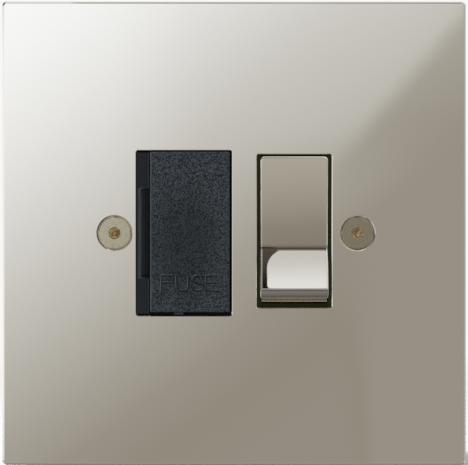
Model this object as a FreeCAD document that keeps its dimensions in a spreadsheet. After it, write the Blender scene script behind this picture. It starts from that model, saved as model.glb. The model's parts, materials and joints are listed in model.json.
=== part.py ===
import FreeCAD, Part
import math
import os
import Sketcher
from types import SimpleNamespace

# Fused spur unit with a captive fuse carrier and a double-pole rocker switch, in millimetres.
# X points right, Y points into the wall and Z up. The origin lies midway between the two
# fixing screws, on the wall plane, which is the plane of the front plate's back rim.

# Driving dimensions
SIZES = {
    # front plate
    "plate_width": 115.0,
    "plate_height": 115.0,
    "plate_thick": 3.0,
    "plate_shift": -0.5,
    "plate_corner": 1.0,
    "plate_edge_round": 0.5,
    "window_corner": 0.4,
    "window_edge_round": 0.25,
    "recess_depth": 0.5,
    "recess_clear": 0.4,
    # windows in the plate
    "fuse_window_x": -12.95,
    "fuse_window_width": 23.6,
    "fuse_window_height": 40.9,
    "rocker_window_x": 14.43,
    "rocker_window_z": 0.5,
    "rocker_window_width": 18.5,
    "rocker_end_gap": 0.315,
    # fixing screws
    "fixing_centres": 60.3,
    "fixing_radius": 1.75,
    "fixing_neck_radius": 1.4,
    "fixing_neck_end": 0.05,
    "fixing_hole_radius": 1.95,
    "fixing_length": 35.0,
    "fixing_head_radius": 3.95,
    "fixing_head_land": 0.3,
    "fixing_head_sink": 0.25,
    "countersink_radius": 4.5,
    "countersink_rim": 0.12,
    "fixing_socket_radius": 1.55,
    "fixing_socket_depth": 1.2,
    # front housing
    "housing_width": 63.0,
    "housing_wall": 1.4,
    "housing_floor": 2.0,
    "split_depth": 12.0,
    "lug_gap_height": 19.0,
    "lug_gap_depth": 5.7,
    "housing_corner": 1.5,
    "well_clear": 0.8,
    "well_end_clear": 0.7,
    "bay_wall": 1.2,
    "bay_floor": 1.5,
    "barrier_thick": 0.8,
    "barrier_short": 2.0,
    # rear cover
    "cover_margin": 2.3,
    "contact_support_length": 3.04,
    "cover_wall": 1.5,
    "cover_edge_round": 0.6,
    "cover_panel_width": 30.0,
    "cover_panel_height": 20.0,
    "cover_panel_depth": 0.4,
    "cover_panel_corner": 1.5,
    "rib_thick": 1.2,
    # cover screws and their posts
    "post_spacing_x": 56.6,
    "post_spacing_z": 29.0,
    "post_radius": 2.6,
    "cover_post_radius": 3.2,
    "cover_screw_radius": 1.25,
    "cover_screw_length": 9.0,
    "cover_screw_head_radius": 2.4,
    "cover_screw_head_thick": 1.8,
    "cover_screw_seat": 3.0,
    # fixed strip with the tool slot, beside the carrier
    "tower_side_gap": 0.1,
    "tower_width": 3.0,
    "tower_end_gap": 0.45,
    "tower_proud": 0.2,
    "tool_slot_width": 2.0,
    "tool_slot_length": 22.1,
    "tool_slot_depth": 2.0,
    # fuse carrier
    "carrier_proud": 1.0,
    "carrier_face_thick": 2.0,
    "carrier_side_gap": 0.3,
    "carrier_right_gap": 0.42,
    "carrier_top_gap": 0.25,
    "carrier_bottom_gap": 0.87,
    "carrier_edge_round": 0.35,
    "carrier_skirt_inset": 0.3,
    "carrier_skirt_wall": 1.2,
    "carrier_seat_gap": 0.3,
    "carrier_travel": 12.0,
    "carrier_wall": 1.5,
    "leg_width": 4.0,
    "leg_offset": 7.0,
    "leg_inset": 1.55,
    "leg_gap": 0.3,
    "hook_reach": 0.9,
    "hook_length": 1.2,
    "nib_width": 2.1,
    "nib_offset": -2.69,
    "nib_drop": 0.65,
    "nib_thick": 1.2,
    # fuse
    "fuse_length": 25.4,
    "fuse_cap_radius": 3.175,
    "fuse_tube_radius": 2.95,
    "fuse_cap_length": 5.6,
    "fuse_cap_end": 0.35,
    "fuse_fit": 0.02,
    "fuse_depth": 3.2,
    "fuse_clear": 0.3,
    "contact_gap": 0.2,
    "contact_inner": 7.6,
    "contact_outer": 12.2,
    # rocker, in its own frame at mid travel with the pivot as origin
    "pivot_depth": 7.0,
    "rocker_throw": 13.0,
    "rocker_width": 16.9,
    "rocker_cap_wall": 1.0,
    "rocker_top_height": 12.63,
    "rocker_top_lean": 0.58,
    "rocker_valley_height": 8.86,
    "rocker_valley_reach": 5.24,
    "rocker_lip_height": 11.92,
    "rocker_lip_trim": 0.105,
    "rocker_top_radius": 20.0,
    "rocker_shoulder_height": 9.1,
    "rocker_rim_height": 2.5,
    "rocker_shoulder_round": 3.0,
    "rocker_lip_round": 0.5,
    "rocker_edge_round": 0.35,
    "rocker_corner_round": 1.0,
    "rocker_valley_round": 3.0,
    "rocker_fill_gap": 0.05,
    "hub_half_height": 5.0,
    "hub_depth": 5.0,
    "trunnion_radius": 1.5,
    "trunnion_boss_radius": 2.4,
    "trunnion_boss_gap": 0.4,
    "trunnion_length": 0.9,
    "running_fit": 0.05,
    # plungers and their springs
    "plunger_spacing": 9.8,
    "plunger_radius": 1.6,
    "plunger_nose_radius": 1.1,
    "plunger_peg_radius": 0.75,
    "plunger_peg_length": 1.5,
    "plunger_guide_length": 6.5,
    "plunger_back": 1.0,
    "plunger_tip_gap": 0.05,
    "well_bottom": 7.0,
    "spring_radius": 1.15,
    "spring_wire_radius": 0.2,
    "spring_pitch": 1.5,
    # see-saw contact arms
    "arm_pivot_depth": 19.0,
    "arm_width": 4.0,
    "arm_thick": 0.8,
    "arm_rib_radius": 1.0,
    "arm_short_end": 6.5,
    "arm_long_end": 8.8,
    "tip_reach": 7.0,
    "tip_radius": 1.5,
    "tip_thick": 0.9,
    "tip_bevel": 0.35,
    "tip_gap": 0.1,
    "saddle_half_height": 1.8,
    "saddle_front_gap": 0.2,
    "saddle_web": 0.35,
    # strips
    "strip_thick": 0.8,
    "strip_width": 4.0,
    "strip_bend": 0.4,
    "strip_turn": 19.0,
    "fixed_strip_end": 5.0,
    "saddle_strip_end": 2.5,
    "link_half_height": 2.0,
    "notch_clear": 0.3,
    # earth strap and plate studs
    "earth_x": 0.4,
    "earth_strap_width": 5.0,
    "earth_foot_reach": 2.6,
    "stud_bay_gap": 1.12,
    "stud_radius": 1.5,
    "stud_hole_clear": 0.15,
    "stud_end": 1.0,
    "washer_radius": 2.5,
    "washer_thick": 0.7,
    "nut_radius": 3.18,
    "nut_thick": 2.4,
    # terminals
    "pillar_gap": 0.5,
    "terminal_margin": 1.1,
    "pillar_width": 6.5,
    "pillar_height": 7.0,
    "pillar_depth": 10.0,
    "pillar_wall": 1.5,
    "pillar_edge_round": 0.5,
    "bore_radius": 2.1,
    "boss_half_width": 3.0,
    "terminal_screw_radius": 1.75,
    "terminal_head_radius": 2.7,
    "terminal_head_thick": 1.8,
    "terminal_head_lift": 0.5,
    "terminal_tip_gap": 0.2,
    "slot_width": 0.8,
    "slot_depth": 0.8,
    "thread_gap": 0.05,
}

doc = FreeCAD.newDocument("FusedSpurUnit")
sheet = doc.addObject("Spreadsheet::Sheet", "Sizes")
for row, (alias, number) in enumerate(SIZES.items(), start=1):
    sheet.set(f"A{row}", alias)
    sheet.set(f"B{row}", str(number))
    sheet.setAlias(f"B{row}", alias)
doc.recompute()


# Size: a length or an angle as text that binds a property, with its value now
class Size:
    def __init__(self, text, value):
        self.text = text
        self.value = value

    def __add__(self, other):
        other = as_size(other)
        return Size(f"({self.text} + {other.text})", self.value + other.value)

    def __sub__(self, other):
        other = as_size(other)
        return Size(f"({self.text} - {other.text})", self.value - other.value)

    def __mul__(self, other):
        other = as_size(other)
        return Size(f"({self.text} * {other.text})", self.value * other.value)

    def __truediv__(self, other):
        other = as_size(other)
        return Size(f"({self.text} / {other.text})", self.value / other.value)

    def __radd__(self, other):
        return as_size(other) + self

    def __rsub__(self, other):
        return as_size(other) - self

    def __rmul__(self, other):
        return as_size(other) * self

    def __neg__(self):
        return Size(f"(0 - {self.text})", -self.value)


def as_size(value):
    if isinstance(value, Size):
        return value
    return Size(f"({float(value)})", float(value))


def cosine(angle):
    return Size(f"cos({angle.text})", math.cos(math.radians(angle.value)))


def sine(angle):
    return Size(f"sin({angle.text})", math.sin(math.radians(angle.value)))


def leg_of(longest, other):
    square = longest * longest - other * other
    return Size(f"sqrt({square.text})", math.sqrt(square.value))


S = SimpleNamespace(**{alias: Size(f"Sizes.{alias}", float(sheet.get(alias))) for alias in SIZES})
X_AXIS = FreeCAD.Vector(1, 0, 0)
TURNS = {
    "X": FreeCAD.Rotation(FreeCAD.Vector(0, 1, 0), 90),
    "Y": FreeCAD.Rotation(X_AXIS, -90),
    "Z": FreeCAD.Rotation(),
}


# Helpers: bound primitives, sketched slabs and groups
def bind(thing, prop, size):
    thing.setExpression(prop, as_size(size).text)


def place(thing, x, y, z, rotation=FreeCAD.Rotation()):
    thing.Placement = FreeCAD.Placement(FreeCAD.Vector(), rotation)
    bind(thing, "Placement.Base.x", x)
    bind(thing, "Placement.Base.y", y)
    bind(thing, "Placement.Base.z", z)


def block(name, x, y, z):
    box = doc.addObject("Part::Box", name)
    for side, (low, high) in zip(("Length", "Width", "Height"), (x, y, z)):
        bind(box, side, as_size(high) - low)
    place(box, x[0], y[0], z[0])
    return box


def rod(name, radius, axis, start, length):
    cylinder = doc.addObject("Part::Cylinder", name)
    bind(cylinder, "Radius", radius)
    bind(cylinder, "Height", length)
    place(cylinder, *start, TURNS[axis])
    return cylinder


def cone(name, start_radius, end_radius, axis, start, length):
    taper = doc.addObject("Part::Cone", name)
    bind(taper, "Radius1", start_radius)
    bind(taper, "Radius2", end_radius)
    bind(taper, "Height", length)
    place(taper, *start, TURNS[axis])
    return taper


def prism(name, radius, axis, start, length):
    hexagon = doc.addObject("Part::Prism", name)
    hexagon.Polygon = 6
    bind(hexagon, "Circumradius", radius)
    bind(hexagon, "Height", length)
    place(hexagon, *start, TURNS[axis])
    return hexagon


def joined(name, parts):
    union = doc.addObject("Part::MultiFuse", name)
    union.Shapes = parts
    union.Refine = True
    return union


def group(name, parts):
    compound = doc.addObject("Part::Compound", name)
    compound.Links = parts
    return compound


def cut(name, base, tools):
    tool = tools[0] if len(tools) == 1 else joined(f"{name}_tools", tools)
    difference = doc.addObject("Part::Cut", name)
    difference.Base = base
    difference.Tool = tool
    difference.Refine = True
    return difference


def rounded(name, base, radius, wanted):
    doc.recompute()
    fillet = doc.addObject("Part::Fillet", name)
    fillet.Base = base
    edges = enumerate(base.Shape.Edges, start=1)
    fillet.Edges = [(number, radius.value, radius.value) for number, edge in edges if wanted(edge)]
    return fillet


def base_plane(body, role):
    return [feature for feature in body.Origin.OriginFeatures if feature.Role == role][0]


def bound_loop(sketch, points):
    first = sketch.GeometryCount
    count = len(points)
    for i, start in enumerate(points):
        end = points[(i + 1) % count]
        corners = [FreeCAD.Vector(as_size(a).value, as_size(b).value, 0) for a, b in (start, end)]
        sketch.addGeometry(Part.LineSegment(*corners), False)
    for i in range(count):
        sketch.addConstraint(Sketcher.Constraint("Coincident", first + i, 2, first + (i + 1) % count, 1))
    for i, (a, b) in enumerate(points):
        for kind, size in (("DistanceX", as_size(a)), ("DistanceY", as_size(b))):
            number = sketch.addConstraint(Sketcher.Constraint(kind, -1, 1, first + i, 1, size.value))
            sketch.setExpression(f"Constraints[{number}]", size.text)


def sketched(body, role, loops):
    sketch = body.newObject("Sketcher::SketchObject", f"{body.Name}_sketch")
    sketch.AttachmentSupport = [(base_plane(body, role), "")]
    sketch.MapMode = "FlatFace"
    for points in loops:
        bound_loop(sketch, points)
    return sketch


def padded(name, role, loops, depth):
    body = doc.addObject("PartDesign::Body", name)
    pad = body.newObject("PartDesign::Pad", f"{name}_pad")
    pad.Profile = sketched(body, role, loops)
    bind(pad, "Length", depth)
    doc.recompute()
    return body


def soften(body, radius, wanted):
    base = body.Tip
    fillet = body.newObject("PartDesign::Fillet", f"{base.Name}_soft")
    edges = enumerate(base.Shape.Edges, start=1)
    fillet.Base = (base, [f"Edge{number}" for number, edge in edges if wanted(edge)])
    bind(fillet, "Radius", radius)
    doc.recompute()
    return body


def runs_along(edge, axis):
    box = edge.BoundBox
    spans = {"x": box.XLength, "y": box.YLength, "z": box.ZLength}
    longest = spans.pop(axis)
    return longest > 1e-6 and max(spans.values()) < 1e-6


def rectangle(x, z):
    return [(x[0], z[0]), (x[1], z[0]), (x[1], z[1]), (x[0], z[1])]


def around(centre, half):
    return centre - half, centre + half


# Places that several pieces share
PLATE_FRONT = -S.plate_thick
HOUSING_FRONT = -S.recess_depth
FLOOR_BACK = S.housing_floor - S.recess_depth
FIXING_X = [-S.fixing_centres / 2, S.fixing_centres / 2]
FUSE_WINDOW_X = around(S.fuse_window_x, S.fuse_window_width / 2)
FUSE_WINDOW_Z = (-S.fuse_window_height / 2, S.fuse_window_height / 2)
ROCKER_WINDOW_X = around(S.rocker_window_x, S.rocker_window_width / 2)
ROCKER_WINDOW_Z = around(
    S.rocker_window_z, leg_of(S.rocker_top_radius, S.pivot_depth) + S.rocker_end_gap
)
TOWER_X = (
    FUSE_WINDOW_X[0] + S.tower_side_gap,
    FUSE_WINDOW_X[0] + S.tower_side_gap + S.tower_width,
)
TOWER_FRONT = PLATE_FRONT - S.tower_proud
CARRIER_X = (TOWER_X[1] + S.carrier_side_gap, FUSE_WINDOW_X[1] - S.carrier_right_gap)
CARRIER_Z = (FUSE_WINDOW_Z[0] + S.carrier_bottom_gap, FUSE_WINDOW_Z[1] - S.carrier_top_gap)
CARRIER_FRONT = PLATE_FRONT - S.carrier_proud
CARRIER_BACK = CARRIER_FRONT + S.carrier_face_thick
FUSE_X = (CARRIER_X[0] + CARRIER_X[1]) / 2
BAY_X = (TOWER_X[1], FUSE_WINDOW_X[1] - S.carrier_right_gap / 3)
LEG_HALF = S.fuse_window_height / 2 - S.leg_inset
BAY_DOOR_HALF = LEG_HALF + S.leg_gap
BAY_HALF = LEG_HALF + S.hook_reach + S.leg_gap
COVER_HALF = BAY_HALF + S.cover_margin
TERMINAL_ROW = COVER_HALF + S.pillar_gap + S.pillar_height / 2
HOUSING_HALF = TERMINAL_ROW + S.pillar_height / 2 + S.terminal_margin
STUD_Z = BAY_HALF + S.bay_wall + S.nut_radius + S.stud_bay_gap
EARTH_FOOT = STUD_Z - S.earth_foot_reach
BAY_FLOOR_FRONT = S.split_depth - S.bay_floor
WELL_X = around(S.rocker_window_x, S.rocker_width / 2 + S.well_clear + S.running_fit)
WELL_Z = around(S.rocker_window_z, S.rocker_top_radius + S.well_end_clear)
POLE_X = {
    "live": S.rocker_window_x - S.plunger_spacing / 2,
    "neutral": S.rocker_window_x + S.plunger_spacing / 2,
}
STRIP_Y = (S.split_depth, S.split_depth + S.strip_thick)
PILLAR_Y = (STRIP_Y[1], STRIP_Y[1] + S.pillar_depth)
BORE_Y = PILLAR_Y[0] + S.pillar_wall + S.bore_radius
STRIP_END = TERMINAL_ROW + S.pillar_height / 2 - S.notch_clear
EARTH_LEG = HOUSING_HALF - S.housing_wall - S.notch_clear - S.strip_thick / 2
POST_X = around(S.plate_shift, S.post_spacing_x / 2)
POST_Z = (-S.post_spacing_z / 2, S.post_spacing_z / 2)
HALF_THROW = S.rocker_throw / 2
ROCKER_TURN = -HALF_THROW
ARM_TURN = HALF_THROW
SHOULDER_REACH = leg_of(S.rocker_top_radius, S.rocker_shoulder_height)
TOP_REACH = SHOULDER_REACH - S.rocker_top_lean
LIP_REACH = leg_of(S.rocker_top_radius - S.rocker_lip_trim, S.rocker_lip_height)
SADDLE_FRONT = S.arm_pivot_depth + S.arm_rib_radius + S.running_fit + S.saddle_web
SADDLE_STRIP_Y = (SADDLE_FRONT, SADDLE_FRONT + S.strip_thick)
TIP_CLOSED = (
    S.arm_pivot_depth
    + (S.tip_thick - S.arm_rib_radius + S.arm_thick) * cosine(HALF_THROW)
    + (S.tip_reach + S.tip_radius) * sine(HALF_THROW)
)
FIXED_FRONT = TIP_CLOSED + S.tip_gap + S.tip_thick
FIXED_STRIP_Y = (FIXED_FRONT, FIXED_FRONT + S.strip_thick)
COVER_INSIDE = FIXED_STRIP_Y[1] + S.contact_support_length
COVER_BACK = COVER_INSIDE + S.cover_wall


def h_outline(width, height, gap_height, gap_depth, inset):
    half_width = width / 2 - inset
    half_height = height / 2 - inset
    waist = half_width - gap_depth
    shelf = gap_height / 2 + inset
    return [
        (-half_width, -half_height),
        (half_width, -half_height),
        (half_width, -shelf),
        (waist, -shelf),
        (waist, shelf),
        (half_width, shelf),
        (half_width, half_height),
        (-half_width, half_height),
        (-half_width, shelf),
        (-waist, shelf),
        (-waist, -shelf),
        (-half_width, -shelf),
    ]


def h_slab(name, height, inset, back, depth):
    outline = h_outline(S.housing_width, height, S.lug_gap_height, S.lug_gap_depth, inset)
    slab = padded(name, "XZ_Plane", [outline], depth)
    place(slab, S.plate_shift, back, 0)
    return slab


# Front plate: a square with two windows, a recess for the housing and two countersunk holes
def front_plate():
    outer = rectangle(
        around(S.plate_shift, S.plate_width / 2), (-S.plate_height / 2, S.plate_height / 2)
    )
    windows = [rectangle(FUSE_WINDOW_X, FUSE_WINDOW_Z), rectangle(ROCKER_WINDOW_X, ROCKER_WINDOW_Z)]
    sheet_metal = padded("plate_sheet", "XZ_Plane", [outer, *windows], S.plate_thick)
    limit = S.plate_height.value / 2 - S.plate_corner.value

    def outer_corner(edge):
        return runs_along(edge, "y") and abs(edge.BoundBox.ZMin) > limit

    def window_corner(edge):
        return runs_along(edge, "y") and abs(edge.BoundBox.ZMin) < limit

    def front_rim(edge, outer):
        box = edge.BoundBox
        on_front = box.YMax < PLATE_FRONT.value + 1e-6
        wide = max(abs(box.ZMin), abs(box.ZMax)) > limit
        return on_front and wide == outer

    soften(sheet_metal, S.plate_corner, outer_corner)
    soften(sheet_metal, S.window_corner, window_corner)
    soften(sheet_metal, S.plate_edge_round, lambda edge: front_rim(edge, True))
    soften(sheet_metal, S.window_edge_round, lambda edge: front_rim(edge, False))
    recess = h_slab(
        "plate_recess", HOUSING_HALF * 2, -S.recess_clear, as_size(0), S.recess_depth
    )
    soften(recess, S.housing_corner, lambda edge: runs_along(edge, "y"))
    tools = [recess]
    for i, x in enumerate(FIXING_X):
        sink = S.countersink_radius - S.fixing_hole_radius
        tools.append(
            cone(
                f"countersink_{i}",
                S.countersink_radius,
                S.fixing_hole_radius,
                "Y",
                (x, PLATE_FRONT, 0),
                sink,
            )
        )
        tools.append(
            rod(f"fixing_hole_{i}", S.fixing_hole_radius, "Y", (x, PLATE_FRONT, 0), S.plate_thick)
        )
    sunk = S.countersink_radius.value

    def sink_rim(edge):
        box = edge.BoundBox
        return box.YMax < PLATE_FRONT.value + 1e-6 and abs(box.ZLength / 2 - sunk) < 1e-3

    blank = cut("plate_blank", sheet_metal, tools)
    return rounded("front_plate", blank, S.countersink_rim, sink_rim)


def fixing_screws():
    screws = []
    top = PLATE_FRONT + S.fixing_head_sink
    land_end = top + S.fixing_head_land
    taper = S.fixing_head_radius - S.fixing_neck_radius
    thread_start = -S.fixing_neck_end
    for i, x in enumerate(FIXING_X):
        parts = [
            rod(f"fixing_land_{i}", S.fixing_head_radius, "Y", (x, top, 0), S.fixing_head_land),
            cone(
                f"fixing_taper_{i}",
                S.fixing_head_radius,
                S.fixing_neck_radius,
                "Y",
                (x, land_end, 0),
                taper,
            ),
            rod(f"fixing_neck_{i}", S.fixing_neck_radius, "Y", (x, top, 0), thread_start - top),
            rod(
                f"fixing_thread_{i}",
                S.fixing_radius,
                "Y",
                (x, thread_start, 0),
                top + S.fixing_length - thread_start,
            ),
        ]
        socket = prism(
            f"fixing_socket_{i}",
            S.fixing_socket_radius,
            "Y",
            (x, top, 0),
            S.fixing_socket_depth,
        )
        screws.append(cut(f"fixing_screw_{i}", joined(f"fixing_blank_{i}", parts), [socket]))
    return group("fixing_screws", screws)


# Front housing: a tray with the carrier's bay, the rocker's well and seats for the terminals
TERMINALS = {
    "supply_live": (POLE_X["live"], 1),
    "supply_neutral": (POLE_X["neutral"], 1),
    "supply_earth": (S.earth_x, 1),
    "load_live": (FUSE_X, -1),
    "load_neutral": (POLE_X["neutral"], -1),
    "load_earth": (S.earth_x, -1),
}


def ordered(side, near, far):
    return (near, far) if side > 0 else (-far, -near)


def leg_spans():
    return [around(FUSE_X - S.leg_offset, S.leg_width / 2), around(FUSE_X + S.leg_offset, S.leg_width / 2)]


def front_housing():
    floor_to_split = (FLOOR_BACK, S.split_depth)
    shell = h_slab(
        "housing_form", HOUSING_HALF * 2, 0, S.split_depth, S.split_depth - HOUSING_FRONT
    )
    soften(shell, S.housing_corner, lambda edge: runs_along(edge, "y"))
    hollow = h_slab(
        "housing_hollow", HOUSING_HALF * 2, S.housing_wall, S.split_depth, S.split_depth - FLOOR_BACK
    )
    tray = cut("housing_tray", shell, [hollow])
    bay = block(
        "bay_walls",
        (BAY_X[0] - S.bay_wall, BAY_X[1] + S.bay_wall),
        floor_to_split,
        around(as_size(0), BAY_HALF + S.bay_wall),
    )
    well = block(
        "well_walls",
        (WELL_X[0] - S.housing_wall, WELL_X[1] + S.housing_wall),
        floor_to_split,
        (WELL_Z[0] - S.housing_wall, WELL_Z[1] + S.housing_wall),
    )
    tower = block(
        "tool_strip",
        TOWER_X,
        (TOWER_FRONT, HOUSING_FRONT),
        (FUSE_WINDOW_Z[0] + S.tower_end_gap, FUSE_WINDOW_Z[1] - S.tower_end_gap),
    )
    solids = [tray, bay, well, tower]
    holes = [
        block(
            "bay_door",
            BAY_X,
            (HOUSING_FRONT, FLOOR_BACK),
            around(as_size(0), BAY_DOOR_HALF),
        ),
        block("bay_inside", BAY_X, (FLOOR_BACK, BAY_FLOOR_FRONT), around(as_size(0), BAY_HALF)),
        block("well_inside", WELL_X, (HOUSING_FRONT, S.split_depth), WELL_Z),
        block(
            "tool_slot",
            (TOWER_X[1] - S.tool_slot_width, TOWER_X[1]),
            (TOWER_FRONT, TOWER_FRONT + S.tool_slot_depth),
            around(as_size(0), S.tool_slot_length / 2),
        ),
        rod(
            "bearing_holes",
            S.trunnion_radius + S.running_fit,
            "X",
            (WELL_X[0] - S.housing_wall * 2, S.pivot_depth, S.rocker_window_z),
            WELL_X[1] - WELL_X[0] + S.housing_wall * 4,
        ),
    ]
    for side in (1, -1):
        contact = ordered(
            side,
            S.contact_inner - S.strip_thick / 2 - S.notch_clear,
            S.contact_outer + S.notch_clear,
        )
        holes.append(
            block(
                f"contact_window_{side}",
                around(FUSE_X, S.strip_width / 2 + S.notch_clear),
                (BAY_FLOOR_FRONT, S.split_depth),
                contact,
            )
        )
        leg_z = ordered(side, LEG_HALF - S.carrier_wall - S.leg_gap, BAY_HALF)
        for i, (left, right) in enumerate(leg_spans()):
            holes.append(
                block(
                    f"leg_window_{side}_{i}",
                    (left - S.leg_gap, right + S.leg_gap),
                    (BAY_FLOOR_FRONT, S.split_depth),
                    leg_z,
                )
            )
        holes.append(
            rod(
                f"stud_hole_{side}",
                S.stud_radius + S.stud_hole_clear,
                "Y",
                (S.earth_x, HOUSING_FRONT, STUD_Z * side),
                S.housing_floor,
            )
        )
    for name, (x, side) in TERMINALS.items():
        if name.endswith("earth"):
            continue
        seat_z = ordered(
            side, TERMINAL_ROW - S.pillar_height / 3, HOUSING_HALF - S.housing_wall
        )
        solids.append(block(f"{name}_seat", around(x, S.boss_half_width), floor_to_split, seat_z))
    earth_side = (S.earth_x + POLE_X["live"]) / 2
    fuse_side = (S.earth_x + FUSE_X) / 2
    for side, places in ((1, (earth_side, S.rocker_window_x)), (-1, (fuse_side, S.rocker_window_x))):
        for i, x in enumerate(places):
            solids.append(
                block(
                    f"terminal_barrier_{side}_{i}",
                    around(x, S.barrier_thick / 2),
                    (FLOOR_BACK, PILLAR_Y[1] - S.barrier_short),
                    ordered(side, COVER_HALF + S.pillar_gap, HOUSING_HALF - S.housing_wall),
                )
            )
    for i, x in enumerate(POST_X):
        for j, z in enumerate(POST_Z):
            start = (x, FLOOR_BACK, z)
            length = S.split_depth - FLOOR_BACK
            solids.append(rod(f"post_{i}{j}", S.post_radius, "Y", start, length))
            holes.append(
                rod(f"pilot_{i}{j}", S.cover_screw_radius + S.thread_gap, "Y", start, length)
            )
    return cut("front_housing", joined("housing_solid", solids), holes)


# Rear cover: a lid over the switch mechanism, open where the strips pass
def rear_cover():
    lid = h_slab("cover_form", COVER_HALF * 2, 0, COVER_BACK, COVER_BACK - S.split_depth)
    soften(lid, S.housing_corner, lambda edge: runs_along(edge, "y"))
    soften(lid, S.cover_edge_round, lambda edge: edge.BoundBox.YMin > -1e-4)
    hollow = h_slab(
        "cover_hollow", COVER_HALF * 2, S.cover_wall, COVER_INSIDE, COVER_INSIDE - S.split_depth
    )
    shell = cut("cover_shell", lid, [hollow])
    inside_half = COVER_HALF - S.cover_wall / 2
    solids = [
        shell,
        block(
            "pole_barrier",
            around(S.rocker_window_x, S.rib_thick / 2),
            (S.split_depth + S.hub_depth / 2, COVER_INSIDE),
            (-inside_half, inside_half),
        ),
    ]
    panel = block(
        "cover_panel",
        around(S.plate_shift, S.cover_panel_width / 2),
        (COVER_BACK - S.cover_panel_depth, COVER_BACK),
        around(as_size(0), S.cover_panel_height / 2),
    )
    corner = S.cover_panel_corner
    holes = [rounded("cover_panel_round", panel, corner, lambda edge: runs_along(edge, "y"))]
    for pole, x in POLE_X.items():
        half = S.strip_width / 2 - S.notch_clear
        z = S.rocker_window_z
        solids.append(
            block(
                f"{pole}_saddle_support",
                around(x, half),
                (SADDLE_STRIP_Y[1], COVER_INSIDE),
                around(z, S.saddle_half_height - S.notch_clear),
            )
        )
        solids.append(
            block(
                f"{pole}_contact_support",
                around(x, half),
                (FIXED_STRIP_Y[1], COVER_INSIDE),
                (z + S.tip_reach - S.tip_radius, z + S.tip_reach + S.tip_radius),
            )
        )
    solids.append(
        block(
            "link_support",
            around(FUSE_X, S.strip_width / 2 - S.notch_clear),
            (SADDLE_STRIP_Y[1], COVER_INSIDE),
            around(S.rocker_window_z, S.saddle_half_height - S.notch_clear),
        )
    )
    for i, x in enumerate(POST_X):
        for j, z in enumerate(POST_Z):
            depth = COVER_BACK - S.split_depth
            seat = S.split_depth + S.cover_screw_seat
            solids.append(
                rod(f"cover_post_{i}{j}", S.cover_post_radius, "Y", (x, S.split_depth, z), depth)
            )
            holes.append(
                rod(
                    f"cover_hole_{i}{j}",
                    S.cover_screw_radius + S.thread_gap * 2,
                    "Y",
                    (x, S.split_depth, z),
                    depth,
                )
            )
            holes.append(
                rod(
                    f"cover_sink_{i}{j}",
                    S.cover_screw_head_radius + S.leg_gap,
                    "Y",
                    (x, seat, z),
                    COVER_BACK - seat,
                )
            )
    for name, (x, side) in TERMINALS.items():
        width = S.earth_strap_width if name.endswith("earth") else S.strip_width
        edge_z = ordered(
            side, COVER_HALF - S.cover_wall * 1.5, COVER_HALF + S.notch_clear
        )
        holes.append(
            block(
                f"{name}_notch",
                around(x, width / 2 + S.notch_clear),
                (S.split_depth, STRIP_Y[1] + S.notch_clear),
                edge_z,
            )
        )
    return cut("rear_cover", joined("cover_solid", solids), holes)


def cover_screws():
    screws = []
    seat = S.split_depth + S.cover_screw_seat
    for i, x in enumerate(POST_X):
        for j, z in enumerate(POST_Z):
            shank = rod(
                f"cover_shank_{i}{j}",
                S.cover_screw_radius,
                "Y",
                (x, seat - S.cover_screw_length, z),
                S.cover_screw_length,
            )
            head = rod(
                f"cover_head_{i}{j}",
                S.cover_screw_head_radius,
                "Y",
                (x, seat, z),
                S.cover_screw_head_thick,
            )
            slot = block(
                f"cover_slot_{i}{j}",
                around(x, S.cover_screw_head_radius),
                (
                    seat + S.cover_screw_head_thick - S.slot_depth,
                    seat + S.cover_screw_head_thick,
                ),
                around(z, S.slot_width / 2),
            )
            screws.append(
                cut(f"cover_screw_{i}{j}", joined(f"cover_blank_{i}{j}", [shank, head]), [slot])
            )
    return group("cover_screws", screws)


# Strips: flat metal folded square along a route in the YZ plane
def offset_side(route, half, sign):
    points = []
    for i, (y, z) in enumerate(route):
        legs = []
        for a, b in ((i - 1, i), (i, i + 1)):
            if a >= 0 and b < len(route):
                run_y = as_size(route[b][0]).value - as_size(route[a][0]).value
                run_z = as_size(route[b][1]).value - as_size(route[a][1]).value
                length = math.hypot(run_y, run_z)
                legs.append((-run_z / length, run_y / length))
        shift_y = sum({round(leg[0]) for leg in legs if round(leg[0])})
        shift_z = sum({round(leg[1]) for leg in legs if round(leg[1])})
        points.append((y + half * (sign * shift_y), z + half * (sign * shift_z)))
    return points


def strip(name, route, width, centre_x):
    half = S.strip_thick / 2
    left = offset_side(route, half, 1)
    right = offset_side(route, half, -1)
    body = padded(name, "YZ_Plane", [left + right[::-1]], width)
    inner, outer = bend_tests(route, half)
    soften(body, S.strip_bend, inner)
    soften(body, S.strip_bend + S.strip_thick, outer)
    place(body, centre_x - width / 2, 0, 0)
    return body


def bend_tests(route, half):
    inside, outside = [], []
    for i in range(1, len(route) - 1):
        here = [as_size(value).value for value in route[i]]
        toward = [0.0, 0.0]
        for other in (route[i - 1], route[i + 1]):
            step = [as_size(value).value - mine for value, mine in zip(other, here)]
            length = math.hypot(*step)
            toward = [t + s / length for t, s in zip(toward, step)]
        inside.append([h + half.value * t for h, t in zip(here, toward)])
        outside.append([h - half.value * t for h, t in zip(here, toward)])

    def near(places):
        def test(edge):
            box = edge.BoundBox
            middle = (box.YMin, box.ZMin)
            close = [math.dist(middle, place) < 1e-4 for place in places]
            return runs_along(edge, "x") and any(close)

        return test

    return near(inside), near(outside)


def middle(pair):
    return (pair[0] + pair[1]) / 2


def saddle(name, x):
    front = S.arm_pivot_depth + S.saddle_front_gap
    z = S.rocker_window_z
    seat = block(
        f"{name}_seat",
        around(x, S.arm_width / 2),
        (front, SADDLE_STRIP_Y[0]),
        around(z, S.saddle_half_height),
    )
    groove = rod(
        f"{name}_groove",
        S.arm_rib_radius + S.running_fit,
        "X",
        (x - S.arm_width, S.arm_pivot_depth, z),
        S.arm_width * 2,
    )
    return cut(name, seat, [groove])


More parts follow.
